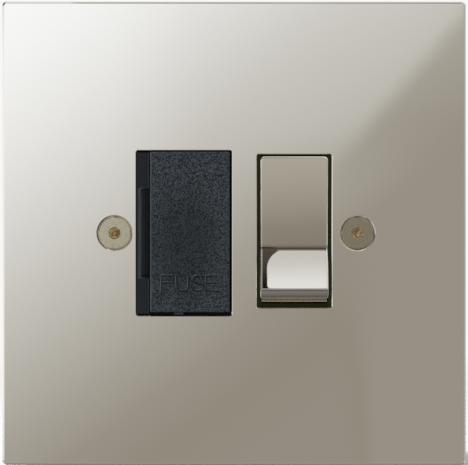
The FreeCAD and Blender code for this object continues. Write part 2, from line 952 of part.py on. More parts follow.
def supply_contact(pole):
    route = [
        (middle(STRIP_Y), STRIP_END),
        (middle(STRIP_Y), S.strip_turn),
        (middle(FIXED_STRIP_Y), S.strip_turn),
        (middle(FIXED_STRIP_Y), S.fixed_strip_end),
    ]
    return strip(f"supply_{pole}_contact", route, S.strip_width, POLE_X[pole])


def neutral_saddle():
    route = [
        (middle(STRIP_Y), -STRIP_END),
        (middle(STRIP_Y), -S.strip_turn),
        (middle(SADDLE_STRIP_Y), -S.strip_turn),
        (middle(SADDLE_STRIP_Y), S.saddle_strip_end),
    ]
    flat = strip("neutral_saddle_strip", route, S.strip_width, POLE_X["neutral"])
    return joined("neutral_saddle", [flat, saddle("neutral_saddle_seat", POLE_X["neutral"])])


def fuse_contact_y():
    front = S.fuse_depth + S.fuse_cap_radius + S.contact_gap
    return front, front + S.strip_thick


def live_link():
    low = S.rocker_window_z - S.link_half_height
    route = [
        (middle(SADDLE_STRIP_Y), low),
        (middle(SADDLE_STRIP_Y), S.contact_inner),
        (middle(fuse_contact_y()), S.contact_inner),
        (middle(fuse_contact_y()), S.contact_outer),
    ]
    flag = strip("link_flag", route, S.strip_width, FUSE_X)
    bridge = block(
        "link_bridge",
        (FUSE_X, POLE_X["live"] + S.arm_width / 2),
        SADDLE_STRIP_Y,
        around(S.rocker_window_z, S.link_half_height),
    )
    return joined("live_link", [flag, bridge, saddle("live_saddle_seat", POLE_X["live"])])


def load_live_contact():
    route = [
        (middle(STRIP_Y), -STRIP_END),
        (middle(STRIP_Y), -S.contact_inner),
        (middle(fuse_contact_y()), -S.contact_inner),
        (middle(fuse_contact_y()), -S.contact_outer),
    ]
    return strip("load_live_contact", route, S.strip_width, FUSE_X)


def earth_strap():
    foot = FLOOR_BACK + S.strip_thick / 2
    route = [
        (foot, EARTH_FOOT),
        (foot, EARTH_LEG),
        (middle(STRIP_Y), EARTH_LEG),
        (middle(STRIP_Y), -EARTH_LEG),
        (foot, -EARTH_LEG),
        (foot, -EARTH_FOOT),
    ]
    flat = strip("earth_strap_blank", route, S.earth_strap_width, S.earth_x)
    holes = []
    for side in (1, -1):
        start = (S.earth_x, FLOOR_BACK, STUD_Z * side)
        hole_radius = S.stud_radius + S.stud_hole_clear
        holes.append(rod(f"strap_hole_{side}", hole_radius, "Y", start, S.strip_thick))
    return cut("earth_strap", flat, holes)


# Plate studs with their washers and nuts
def stud_stack():
    studs, washers, nuts = [], [], []
    washer_y = FLOOR_BACK + S.strip_thick
    nut_y = washer_y + S.washer_thick
    stud_length = nut_y + S.nut_thick + S.stud_end - HOUSING_FRONT
    for side in (1, -1):
        z = STUD_Z * side
        hole_radius = S.stud_radius + S.thread_gap
        studs.append(rod(f"stud_{side}", S.stud_radius, "Y", (S.earth_x, HOUSING_FRONT, z), stud_length))
        disc = rod(f"washer_disc_{side}", S.washer_radius, "Y", (S.earth_x, washer_y, z), S.washer_thick)
        eye = rod(f"washer_eye_{side}", hole_radius, "Y", (S.earth_x, washer_y, z), S.washer_thick)
        washers.append(cut(f"washer_{side}", disc, [eye]))
        hexagon = prism(f"nut_form_{side}", S.nut_radius, "Y", (S.earth_x, nut_y, z), S.nut_thick)
        thread = rod(f"nut_thread_{side}", hole_radius, "Y", (S.earth_x, nut_y, z), S.nut_thick)
        nuts.append(cut(f"nut_{side}", hexagon, [thread]))
    return [group("plate_studs", studs), group("lock_washers", washers), group("stud_nuts", nuts)]


# Terminal pillars: a conductor bore along Z and a clamping screw from the back
def pillar(name, x, side):
    z = ordered(
        side, TERMINAL_ROW - S.pillar_height / 2, TERMINAL_ROW + S.pillar_height / 2
    )
    blank = block(f"{name}_blank", around(x, S.pillar_width / 2), PILLAR_Y, z)
    body = rounded(
        f"{name}_round", blank, S.pillar_edge_round, lambda edge: runs_along(edge, "y")
    )
    bore = rod(f"{name}_bore", S.bore_radius, "Z", (x, BORE_Y, z[0]), S.pillar_height)
    thread = rod(
        f"{name}_thread",
        S.terminal_screw_radius + S.thread_gap,
        "Y",
        (x, BORE_Y, TERMINAL_ROW * side),
        PILLAR_Y[1] - BORE_Y,
    )
    return cut(f"{name}_pillar", body, [bore, thread])


def terminal_screws():
    screws = []
    head_y = PILLAR_Y[1] + S.terminal_head_lift
    tip_y = BORE_Y + S.bore_radius + S.terminal_tip_gap
    for name, (x, side) in TERMINALS.items():
        z = TERMINAL_ROW * side
        shank = rod(f"{name}_shank", S.terminal_screw_radius, "Y", (x, tip_y, z), head_y - tip_y)
        head = rod(
            f"{name}_head", S.terminal_head_radius, "Y", (x, head_y, z), S.terminal_head_thick
        )
        slot = block(
            f"{name}_slot",
            around(x, S.terminal_head_radius),
            (head_y + S.terminal_head_thick - S.slot_depth, head_y + S.terminal_head_thick),
            around(as_size(z), S.slot_width / 2),
        )
        screws.append(cut(f"{name}_screw", joined(f"{name}_screw_blank", [shank, head]), [slot]))
    return group("terminal_screws", screws)


# Fuse carrier: a captive drawer, with its fuse
def fuse_carrier():
    face = block("carrier_slab", CARRIER_X, (CARRIER_FRONT, CARRIER_BACK), CARRIER_Z)
    front = CARRIER_FRONT.value
    face = rounded(
        "carrier_face", face, S.carrier_edge_round, lambda edge: edge.BoundBox.YMin < front + 1e-6
    )
    skirt_x = (CARRIER_X[0] + S.carrier_skirt_inset, CARRIER_X[1] - S.carrier_skirt_inset)
    skirt_z = (
        CARRIER_Z[0] + S.carrier_skirt_inset,
        CARRIER_Z[1] - S.carrier_skirt_inset,
    )
    skirt_y = (CARRIER_BACK, HOUSING_FRONT - S.carrier_seat_gap)
    wall = S.carrier_skirt_wall
    skirt = cut(
        "carrier_skirt",
        block("skirt_outer", skirt_x, skirt_y, skirt_z),
        [
            block(
                "skirt_inner",
                (skirt_x[0] + wall, skirt_x[1] - wall),
                skirt_y,
                (skirt_z[0] + wall, skirt_z[1] - wall),
            ),
            block(
                "finger_groove",
                (skirt_x[0], skirt_x[0] + wall),
                skirt_y,
                around(as_size(0), S.tool_slot_length / 2),
            ),
        ],
    )
    nib_x = around(FUSE_X + S.nib_offset, S.nib_width / 2)
    nib = block(
        "carrier_nib",
        nib_x,
        (CARRIER_FRONT + S.carrier_edge_round, CARRIER_FRONT + S.carrier_edge_round + S.nib_thick),
        (CARRIER_Z[0] - S.nib_drop, CARRIER_Z[0] + S.carrier_edge_round),
    )
    parts = [face, skirt, nib]
    fuse_half = S.fuse_length / 2
    cradle_half_x = S.fuse_cap_radius + S.fuse_clear + S.carrier_wall
    cradle_x = around(FUSE_X, cradle_half_x)
    cradle_end = fuse_half + S.fuse_clear + S.carrier_wall
    cradle_back = S.fuse_depth + S.fuse_cap_radius + S.fuse_clear
    middle_half = fuse_half - S.fuse_cap_length - S.fuse_clear * 2
    parts.append(
        block(
            "cradle_block",
            cradle_x,
            (CARRIER_BACK, cradle_back),
            (-cradle_end, cradle_end),
        )
    )
    parts.append(
        block(
            "cradle_back_rib",
            (FUSE_X, cradle_x[1]),
            (S.fuse_depth, cradle_back + S.carrier_wall),
            (-middle_half, middle_half),
        )
    )
    leg_end = FLOOR_BACK + S.carrier_travel + S.thread_gap
    for side in (1, -1):
        for i, span in enumerate(leg_spans()):
            leg_z = ordered(side, LEG_HALF - S.carrier_wall, LEG_HALF)
            hook_z = ordered(side, LEG_HALF - S.carrier_wall, LEG_HALF + S.hook_reach)
            parts.append(block(f"leg_{side}_{i}", span, (CARRIER_BACK, leg_end), leg_z))
            parts.append(
                block(f"hook_{side}_{i}", span, (leg_end, leg_end + S.hook_length), hook_z)
            )
    room = S.fuse_cap_radius + S.fuse_clear
    trough = rod(
        "fuse_trough",
        room,
        "Z",
        (FUSE_X, S.fuse_depth, -fuse_half - S.fuse_clear),
        S.fuse_length + S.fuse_clear * 2,
    )
    side_door = block(
        "fuse_side_door",
        (cradle_x[0], FUSE_X),
        (S.fuse_depth - room, cradle_back),
        (-fuse_half - S.fuse_clear, fuse_half + S.fuse_clear),
    )
    tools = [trough, side_door]
    for side in (1, -1):
        tools.append(
            block(
                f"contact_gate_{side}",
                around(FUSE_X, room),
                (S.fuse_depth, cradle_back),
                ordered(side, middle_half, fuse_half + S.fuse_clear),
            )
        )
    return cut("fuse_carrier", joined("carrier_solid", parts), tools)


def fuse_pieces():
    half = S.fuse_length / 2
    tube_half = half - S.fuse_cap_end - S.fuse_fit
    tube = rod(
        "fuse_tube", S.fuse_tube_radius, "Z", (FUSE_X, S.fuse_depth, -tube_half), tube_half * 2
    )
    caps = []
    for name, side in (("upper_fuse_cap", 1), ("lower_fuse_cap", -1)):
        z = ordered(side, half - S.fuse_cap_length, half)
        cup = rod(f"{name}_form", S.fuse_cap_radius, "Z", (FUSE_X, S.fuse_depth, z[0]), z[1] - z[0])
        inside = ordered(side, half - S.fuse_cap_length, half - S.fuse_cap_end)
        hole = rod(
            f"{name}_inside",
            S.fuse_tube_radius + S.fuse_fit,
            "Z",
            (FUSE_X, S.fuse_depth, inside[0]),
            inside[1] - inside[0],
        )
        caps.append(cut(name, cup, [hole]))
    return [tube, *caps]


# Rocker: drawn at mid travel round its pivot, then placed at the off position
def in_rocker(thing):
    place(thing, S.rocker_window_x, S.pivot_depth, S.rocker_window_z, FreeCAD.Rotation(X_AXIS, -1))
    thing.setExpression("Placement.Rotation.Angle", ROCKER_TURN.text)
    return thing


def in_arm(thing, x):
    place(thing, x, S.arm_pivot_depth, S.rocker_window_z, FreeCAD.Rotation(X_AXIS, 1))
    thing.setExpression("Placement.Rotation.Angle", ARM_TURN.text)
    return thing


def rocker_form(name, width):
    body = doc.addObject("PartDesign::Body", name)
    sketch = sketched(body, "YZ_Plane", [])
    rim = -S.rocker_rim_height.value
    top_radius = S.rocker_top_radius.value
    lip = (-S.rocker_lip_height.value, -LIP_REACH.value)
    lip_radius = math.hypot(*lip)
    points = [
        (rim, math.sqrt(top_radius**2 - rim**2)),
        (-S.rocker_shoulder_height.value, SHOULDER_REACH.value),
        (-S.rocker_top_height.value, TOP_REACH.value),
        (-S.rocker_valley_height.value, -S.rocker_valley_reach.value),
        lip,
        (rim, -math.sqrt(lip_radius**2 - rim**2)),
    ]
    corners = [FreeCAD.Vector(y, z, 0) for y, z in points]
    normal = FreeCAD.Vector(0, 0, 1)
    angles = [math.atan2(z, y) for y, z in points]
    full = 2 * math.pi
    top_circle = Part.Circle(FreeCAD.Vector(), normal, top_radius)
    low_circle = Part.Circle(FreeCAD.Vector(), normal, lip_radius)
    sketch.addGeometry(Part.ArcOfCircle(top_circle, angles[0], angles[1]), False)
    for i in (1, 2, 3):
        sketch.addGeometry(Part.LineSegment(corners[i], corners[i + 1]), False)
    sketch.addGeometry(Part.ArcOfCircle(low_circle, angles[4] + full, angles[5] + full), False)
    sketch.addGeometry(Part.LineSegment(corners[5], corners[0]), False)
    for i in range(6):
        sketch.addConstraint(Sketcher.Constraint("Coincident", i, 2, (i + 1) % 6, 1))
    for arc in (0, 4):
        sketch.addConstraint(Sketcher.Constraint("Coincident", arc, 3, -1, 1))
    radius = sketch.addConstraint(Sketcher.Constraint("Radius", 0, top_radius))
    sketch.setExpression(f"Constraints[{radius}]", S.rocker_top_radius.text)
    bounds = [
        (0, "DistanceX", -S.rocker_rim_height),
        (1, "DistanceX", -S.rocker_shoulder_height),
        (2, "DistanceX", -S.rocker_top_height),
        (2, "DistanceY", TOP_REACH),
        (3, "DistanceX", -S.rocker_valley_height),
        (3, "DistanceY", -S.rocker_valley_reach),
        (4, "DistanceX", -S.rocker_lip_height),
        (4, "DistanceY", -LIP_REACH),
        (5, "DistanceX", -S.rocker_rim_height),
    ]
    for geometry, kind, size in bounds:
        number = sketch.addConstraint(Sketcher.Constraint(kind, -1, 1, geometry, 1, size.value))
        sketch.setExpression(f"Constraints[{number}]", size.text)
    pad = body.newObject("PartDesign::Pad", f"{name}_pad")
    pad.Profile = sketch
    bind(pad, "Length", width)
    doc.recompute()
    return body


def at_corner(height, reach):
    corner = (height.value, reach.value)

    def test(edge):
        box = edge.BoundBox
        return runs_along(edge, "x") and math.dist((box.YMin, box.ZMin), corner) < 1e-4

    return test


def rocker_blank(name):
    form = rocker_form(name, S.rocker_width)
    at_shoulder = at_corner(-S.rocker_shoulder_height, SHOULDER_REACH)
    soften(form, S.rocker_valley_round, at_corner(-S.rocker_valley_height, -S.rocker_valley_reach))
    soften(form, S.rocker_shoulder_round, at_shoulder)
    place(form, -S.rocker_width / 2, 0, 0)
    return form


def rocker_skin(name, wall):
    form = rocker_blank(name)
    solid = form.Tip
    rim = -S.rocker_rim_height.value
    faces = enumerate(solid.Shape.Faces, start=1)
    hollow = form.newObject("PartDesign::Thickness", f"{name}_hollow")
    rims = [f"Face{number}" for number, face in faces if face.BoundBox.YMin > rim - 1e-3]
    hollow.Base = (solid, rims)
    bind(hollow, "Value", wall)
    hollow.Reversed = True
    hollow.Join = 1
    doc.recompute()
    return form


def rocker_inside(name, wall):
    return cut(name, rocker_blank(f"{name}_blank"), [rocker_skin(f"{name}_skin", wall)])


def rocker_cap():
    outer = rocker_blank("rocker_cap_outer")
    rim = -S.rocker_rim_height.value
    sides = (0, S.rocker_width.value)
    at_top = at_corner(-S.rocker_top_height, TOP_REACH)
    at_lip = at_corner(-S.rocker_lip_height, -LIP_REACH)

    def on_side(edge):
        box = edge.BoundBox
        flat = any(abs(box.XMin - x) + abs(box.XMax - x) < 1e-4 for x in sides)
        return flat and box.YMin < rim - 1e-3

    def on_top_corner(edge):
        return on_side(edge) and edge.BoundBox.ZMin > 0

    soften(outer, S.rocker_corner_round, on_top_corner)
    soften(outer, S.rocker_lip_round, lambda edge: at_top(edge) or at_lip(edge))
    soften(outer, S.rocker_edge_round, on_side)
    inside = rocker_inside("rocker_cap_inside", S.rocker_cap_wall)
    return in_rocker(cut("rocker_cap", outer, [inside]))


def rocker_body():
    fill = rocker_inside("rocker_fill", S.rocker_cap_wall + S.rocker_fill_gap)
    half_x = S.rocker_width / 2 - S.rocker_cap_wall - S.rocker_fill_gap
    boss_half = WELL_X[1] - S.rocker_window_x - S.trunnion_boss_gap
    hub = block(
        "rocker_hub",
        (-half_x, half_x),
        (-S.rocker_rim_height * 2, S.hub_depth),
        (-S.hub_half_height, S.hub_half_height),
    )
    boss = rod("trunnion_boss", S.trunnion_boss_radius, "X", (-boss_half, 0, 0), boss_half * 2)
    trunnion_half = boss_half + S.trunnion_boss_gap + S.trunnion_length
    trunnion = rod("trunnions", S.trunnion_radius, "X", (-trunnion_half, 0, 0), trunnion_half * 2)
    wells = []
    for pole, side in (("live", -1), ("neutral", 1)):
        wells.append(
            rod(
                f"{pole}_spring_well",
                S.plunger_radius + S.running_fit,
                "Y",
                (S.plunger_spacing / 2 * side, -S.well_bottom, 0),
                S.well_bottom + S.hub_depth,
            )
        )
    solid = joined("rocker_body_solid", [fill, hub, boss, trunnion])
    return in_rocker(cut("rocker_body", solid, wells))


def plunger(pole, side):
    x = S.plunger_spacing / 2 * side
    back = -S.plunger_back
    shoulder = back + S.plunger_guide_length
    centre = (
        S.arm_pivot_depth
        - S.pivot_depth
        - S.arm_rib_radius
        - S.plunger_tip_gap
        - S.plunger_nose_radius
    )
    ball = doc.addObject("Part::Sphere", f"{pole}_nose_ball")
    bind(ball, "Radius", S.plunger_nose_radius)
    place(ball, x, centre, 0)
    parts = [
        rod(f"{pole}_guide", S.plunger_radius, "Y", (x, back, 0), S.plunger_guide_length),
        rod(f"{pole}_nose", S.plunger_nose_radius, "Y", (x, shoulder, 0), centre - shoulder),
        rod(
            f"{pole}_peg",
            S.plunger_peg_radius,
            "Y",
            (x, back - S.plunger_peg_length, 0),
            S.plunger_peg_length,
        ),
        ball,
    ]
    return in_rocker(joined(f"{pole}_plunger", parts))


def plunger_spring(pole, side):
    helix = doc.addObject("Part::Helix", f"{pole}_spring_line")
    bind(helix, "Pitch", S.spring_pitch)
    bind(helix, "Radius", S.spring_radius)
    bind(helix, "Height", S.well_bottom - S.plunger_back - S.spring_wire_radius * 3)
    wire = doc.addObject("Part::RegularPolygon", f"{pole}_spring_wire")
    wire.Polygon = 8
    bind(wire, "Circumradius", S.spring_wire_radius)
    place(wire, S.spring_radius, 0, 0, TURNS["Y"])
    coil = doc.addObject("Part::Sweep", f"{pole}_spring_coil")
    coil.Sections = [wire]
    coil.Spine = (helix, ["Edge1"])
    coil.Solid = True
    coil.Frenet = True
    place(
        coil,
        S.plunger_spacing / 2 * side,
        -S.well_bottom + S.spring_wire_radius * 1.5,
        0,
        TURNS["Y"],
    )
    return in_rocker(group(f"{pole}_plunger_spring", [coil]))


# See-saw contact arms, drawn at mid travel round their pivots
def contact_arm(pole):
    arm_y = (-S.arm_rib_radius, S.arm_thick - S.arm_rib_radius)
    half = S.arm_width / 2
    leaf = block(f"{pole}_leaf", (-half, half), arm_y, (-S.arm_short_end, S.arm_long_end))
    leaf = rounded(
        f"{pole}_leaf_round", leaf, S.arm_width / 5, lambda edge: runs_along(edge, "y")
    )
    rib = rod(f"{pole}_rib", S.arm_rib_radius, "X", (-half, 0, 0), S.arm_width)
    arm = in_arm(joined(f"{pole}_contact_arm", [leaf, rib]), POLE_X[pole])
    disc_thick = S.tip_thick - S.tip_bevel
    disc_place = (0, arm_y[1], S.tip_reach)
    bevel_place = (0, arm_y[1] + disc_thick, S.tip_reach)
    small = S.tip_radius - S.tip_bevel
    parts = [
        rod(f"{pole}_moving_disc", S.tip_radius, "Y", disc_place, disc_thick),
        cone(f"{pole}_moving_bevel", S.tip_radius, small, "Y", bevel_place, S.tip_bevel),
    ]
    return [arm, in_arm(joined(f"{pole}_moving_tip", parts), POLE_X[pole])]


def fixed_tip(pole):
    back = FIXED_STRIP_Y[0]
    front = back - S.tip_thick
    z = S.rocker_window_z + S.tip_reach * cosine(HALF_THROW)
    disc_thick = S.tip_thick - S.tip_bevel
    disc_place = (POLE_X[pole], front + S.tip_bevel, z)
    bevel_place = (POLE_X[pole], front, z)
    small = S.tip_radius - S.tip_bevel
    parts = [
        rod(f"{pole}_fixed_disc", S.tip_radius, "Y", disc_place, disc_thick),
        cone(f"{pole}_fixed_bevel", small, S.tip_radius, "Y", bevel_place, S.tip_bevel),
    ]
    return joined(f"{pole}_fixed_tip", parts)


def build():
    pieces = [front_plate(), fixing_screws(), front_housing(), rear_cover(), cover_screws()]
    pieces += stud_stack()
    pieces += [supply_contact("live"), supply_contact("neutral")]
    pieces += [neutral_saddle(), live_link(), load_live_contact(), earth_strap()]
    pieces += [pillar(name, x, side) for name, (x, side) in TERMINALS.items()]
    pieces.append(terminal_screws())
    pieces.append(fuse_carrier())
    pieces += fuse_pieces()
    pieces += [rocker_cap(), rocker_body()]
    for pole, side in (("live", -1), ("neutral", 1)):
        pieces += [plunger(pole, side), plunger_spring(pole, side)]
        pieces += contact_arm(pole)
        pieces.append(fixed_tip(pole))
    return pieces


pieces = build()
doc.recompute()
for thing in doc.Objects:
    if "Invalid" in thing.State or "Error" in thing.State:
        raise SystemExit(f"{thing.Name} did not build: {thing.State}")
os.makedirs("parts", exist_ok=True)
for piece in pieces:
    if piece.Shape.isNull() or not piece.Shape.isValid():
        raise SystemExit(f"{piece.Label} is not a valid solid")
    piece.Shape.exportStep(f"parts/{piece.Label}.step")
    print(piece.Label, len(piece.Shape.Solids), round(piece.Shape.Volume, 2), piece.Shape.BoundBox)
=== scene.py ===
import bmesh
import bpy
import json
import math
from mathutils import Matrix, Vector


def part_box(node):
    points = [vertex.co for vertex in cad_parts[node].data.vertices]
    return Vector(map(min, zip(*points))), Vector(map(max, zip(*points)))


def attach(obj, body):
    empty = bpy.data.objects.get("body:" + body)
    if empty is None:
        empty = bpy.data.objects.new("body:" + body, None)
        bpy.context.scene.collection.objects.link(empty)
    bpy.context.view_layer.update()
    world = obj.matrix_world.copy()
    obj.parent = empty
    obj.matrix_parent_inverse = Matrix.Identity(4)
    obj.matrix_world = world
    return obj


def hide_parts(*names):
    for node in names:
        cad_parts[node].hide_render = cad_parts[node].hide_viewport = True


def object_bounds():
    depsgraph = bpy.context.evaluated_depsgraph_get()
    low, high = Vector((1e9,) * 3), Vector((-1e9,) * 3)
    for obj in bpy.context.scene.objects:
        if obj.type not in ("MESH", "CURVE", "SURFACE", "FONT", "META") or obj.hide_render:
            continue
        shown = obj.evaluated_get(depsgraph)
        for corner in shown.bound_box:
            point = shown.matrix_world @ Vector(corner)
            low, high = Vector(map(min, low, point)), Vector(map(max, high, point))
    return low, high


# Fused spur unit, in metres, in the CAD's frame: X right, Y into the wall, Z up
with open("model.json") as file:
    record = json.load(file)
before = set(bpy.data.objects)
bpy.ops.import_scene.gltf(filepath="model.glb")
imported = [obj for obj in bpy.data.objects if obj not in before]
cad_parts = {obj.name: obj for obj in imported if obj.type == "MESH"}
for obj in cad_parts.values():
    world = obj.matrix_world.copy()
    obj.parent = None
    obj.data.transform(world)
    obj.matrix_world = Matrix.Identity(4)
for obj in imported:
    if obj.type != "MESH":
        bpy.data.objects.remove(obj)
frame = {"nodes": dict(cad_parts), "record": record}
nodes = frame["nodes"]
cad_low, cad_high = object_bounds()

MM = 0.001
PLATE_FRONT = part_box("front_plate")[0].y
CARRIER_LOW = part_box("fuse_carrier")[0]
SCREWS_LOW, SCREWS_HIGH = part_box("fixing_screws")
SCREW_X = 30.15 * MM
WELL_MIDDLE = 14.43 * MM

# Camera: square on to the plate, a metre before its front
CAMERA_AT = Vector((-0.51 * MM, PLATE_FRONT - 1.0, 0.16 * MM))
VIEW_WIDTH = 116.13 * MM
SENSOR = 36.0


def set_camera():
    data = bpy.data.cameras.new("photo_camera")
    data.sensor_width = SENSOR
    data.lens = SENSOR * (PLATE_FRONT - CAMERA_AT.y) / VIEW_WIDTH
    data.clip_start = 0.05
    data.clip_end = 20.0
    camera = bpy.data.objects.new("photo_camera", data)
    camera.location = CAMERA_AT
    camera.rotation_euler = (math.radians(90), 0, 0)
    bpy.context.scene.collection.objects.link(camera)
    bpy.context.scene.camera = camera


# Shade: a socket that adds Math nodes to its tree when it stands in an expression
class Shade:
    def __init__(self, finish, socket):
        self.finish = finish
        self.socket = socket

    def math(self, operation, *values, clamp=False):
        return self.finish.node(
            "ShaderNodeMath",
            {"operation": operation, "use_clamp": clamp},
            dict(enumerate(values)),
        )

    def __add__(self, other):
        return self.math("ADD", self, other)

    def __radd__(self, other):
        return self.math("ADD", other, self)

    def __sub__(self, other):
        return self.math("SUBTRACT", self, other)

    def __rsub__(self, other):
        return self.math("SUBTRACT", other, self)

    def __mul__(self, other):
        return self.math("MULTIPLY", self, other)

    def __rmul__(self, other):
        return self.math("MULTIPLY", other, self)

    def __truediv__(self, other):
        return self.math("DIVIDE", self, other)

    def __pow__(self, other):
        return self.math("POWER", self, other)

    def __gt__(self, other):
        return self.math("GREATER_THAN", self, other)

    def at_most(self, other):
        return self.math("MINIMUM", self, other)

    def size(self):
        return self.math("ABSOLUTE", self)

    def sine(self):
        return self.math("SINE", self)


# Graph: the nodes of a tree, made one at a time with their settings, values and links
class Graph:
    def __init__(self, tree):
        self.tree = tree
        self.tree.nodes.clear()

    def node(self, kind, settings=None, values=None, output=0):
        made = self.tree.nodes.new(kind)
        for name, setting in (settings or {}).items():
            if name == "stops":
                self.set_stops(made.color_ramp, setting)
            else:
                setattr(made, name, setting)
        for socket, value in (values or {}).items():
            self.feed(made.inputs[socket], value)
        return Shade(self, made.outputs[output]) if made.outputs else made

    def set_stops(self, ramp, stops):
        while len(ramp.elements) < len(stops):
            ramp.elements.new(1.0)
        for element, (position, colour) in zip(ramp.elements, stops):
            element.position = position
            element.color = colour

    def feed(self, socket, value):
        if isinstance(value, Shade):
            self.tree.links.new(value.socket, socket)
        else:
            socket.default_value = value


# Finish: a material with one shader, its fixed values set on the shader's own sockets
class Finish(Graph):
    def __init__(self, name, **fixed):
        self.material = bpy.data.materials.new(name)
        self.material.use_nodes = True
        super().__init__(self.material.node_tree)
        values = {socket.replace("_", " "): value for socket, value in fixed.items()}
        surface = self.node("ShaderNodeBsdfPrincipled", None, values)
        self.shader = surface.socket.node
        self.node("ShaderNodeOutputMaterial", None, {"Surface": surface})

    def vary(self, **sockets):
        for socket, value in sockets.items():
            self.feed(self.shader.inputs[socket.replace("_", " ")], value)

    def place(self, centre=(0, 0, 0), turn=(0, 0, 0), scale=(1, 1, 1)):
        here = self.node("ShaderNodeTexCoord", output="Object")
        moved = {"Vector": here, "Location": centre, "Rotation": turn, "Scale": scale}
        return self.node("ShaderNodeMapping", {"vector_type": "TEXTURE"}, moved)

    def along(self, place):
        split = {"Vector": place}
        return [self.node("ShaderNodeSeparateXYZ", None, split, axis) for axis in ("X", "Y", "Z")]

    def noise(self, place, size, detail=2.0, roughness=0.5, distortion=0.0):
        values = {
            "Vector": place,
            "Scale": 1 / size,
            "Detail": detail,
            "Roughness": roughness,
            "Distortion": distortion,
        }
        return self.node("ShaderNodeTexNoise", {"noise_dimensions": "3D"}, values, "Fac")

    def spread(self, value, low, high, start=0.0, end=1.0):
        values = {"Value": value, "From Min": low, "From Max": high, "To Min": start, "To Max": end}
        return self.node("ShaderNodeMapRange", {"interpolation_type": "SMOOTHSTEP"}, values)

    def inside(self, distance, core, edge):
        """1 up to the core and 0 from the edge on, both in millimetres."""
        return self.spread(distance, core * MM, edge * MM, 1.0, 0.0)

    def ramp(self, factor, stops):
        return self.node("ShaderNodeValToRGB", {"stops": stops}, {"Fac": factor}, "Color")

    def blend(self, factor, first, second, mode="MIX"):
        settings = {"data_type": "RGBA", "blend_type": mode}
        return self.node("ShaderNodeMix", settings, {0: factor, 6: first, 7: second}, 2)

    def bump(self, height, depth, strength=1.0):
        values = {"Height": height, "Distance": depth, "Strength": strength}
        return self.node("ShaderNodeBump", None, values, "Normal")


def grey(level):
    return (level, level, level, 1.0)


# Polished nickel, duller on the plate's back and darkened by painted shade in the cap's two creases
NICKEL = (0.80, 0.765, 0.71, 1.0)
PLATE_BACK = (-0.35 * MM, -0.05 * MM)
CREASES = ((-3.5, 0.35, 0.75), (-13.98, 0.15, 0.4))
CREASE_ENDS = (9.2, 9.3)


def polished_nickel():
    metal = Finish("polished_nickel", Metallic=1.0)
    here = metal.place()
    x, y, z = metal.along(here)
    back = metal.spread(y, *PLATE_BACK)
    wave = metal.noise(here, 9 * MM, detail=1.0)
    haze = metal.noise(here, 2.5 * MM, detail=3.0)
    on_cap = metal.inside((x - WELL_MIDDLE).size(), *CREASE_ENDS)
    valley, lip = [
        metal.inside((z - height * MM).size(), core, edge) for height, core, edge in CREASES
    ]
    # Painted shade: darker nickel along the cap's valley and lip creases
    stain_and_painted_shade = metal.blend((valley + lip) * on_cap, NICKEL, (0.50, 0.47, 0.43, 1.0))
    metal.vary(
        Base_Color=metal.blend(back, stain_and_painted_shade, (0.60, 0.57, 0.52, 1.0)),
        Roughness=0.004 + haze * 0.008 + back * 0.35,
        Normal=metal.bump(wave, 0.002 * MM),
    )
    return metal.material


# Screw finish: turned rings, stained plating and a rusty recess, with painted shade making the
# right screw darker
RECESS = (1.6, 1.75)
RECESS_DEPTHS = (0.05 * MM, 0.25 * MM)
RINGS_PER_METRE = 11000


def nickel_screw():
    metal = Finish("nickel_screw", Metallic=1.0)
    here = metal.place()
    x, y, z = metal.along(here)
    side = x.size() - SCREW_X
    reach = (side * side + z * z) ** 0.5
    turned = metal.noise(here, 0.35 * MM, detail=4.0, roughness=0.6)
    patch = metal.noise(here, 1.3 * MM, detail=3.0, distortion=0.8)
    stain = metal.spread(patch, 0.50, 0.64)
    rings = (reach * RINGS_PER_METRE + turned * 3).sine()
    deep = metal.spread(y - SCREWS_LOW.y, *RECESS_DEPTHS)
    recess = metal.inside(reach, *RECESS) * deep
    # Painted light and shade: the left screw gets the lit plating, the right screw a darker, shaded
    # copy
    shaded_plating = metal.blend(patch, (0.40, 0.37, 0.27, 1.0), (0.45, 0.42, 0.33, 1.0))
    lit_plating = metal.blend(patch, (0.55, 0.51, 0.37, 1.0), (0.62, 0.58, 0.45, 1.0))
    plating_with_painted_shade = metal.blend(x > 0.0, lit_plating, shaded_plating)
    stain_and_painted_shade = metal.blend(stain * 0.5, plating_with_painted_shade, (0.46, 0.40, 0.28, 1.0))
    flecks = metal.spread(turned, 0.38, 0.62)
    rust = metal.blend(flecks, (0.20, 0.14, 0.08, 1.0), (0.86, 0.66, 0.36, 1.0))
    metal.vary(
        Base_Color=metal.blend(recess, stain_and_painted_shade, rust),
        Roughness=0.08 + turned * 0.12 + recess * 0.2,
        Normal=metal.bump(rings * 0.3 + turned, 0.003 * MM),
    )
    return metal.material


# Black moulding: the carrier's grained face and raised letters with painted light and shade, and
# the rocker's hub with a painted olive glow
CARRIER_MIDDLE = (-12.5 * MM, -3 * MM)
CARRIER_REACH = (11 * MM, 19 * MM)
CARRIER_EDGE = (0.25, 0.5)
LETTERS_UP = (-0.12 * MM, -0.02 * MM)
HUB_LEFT = 4 * MM


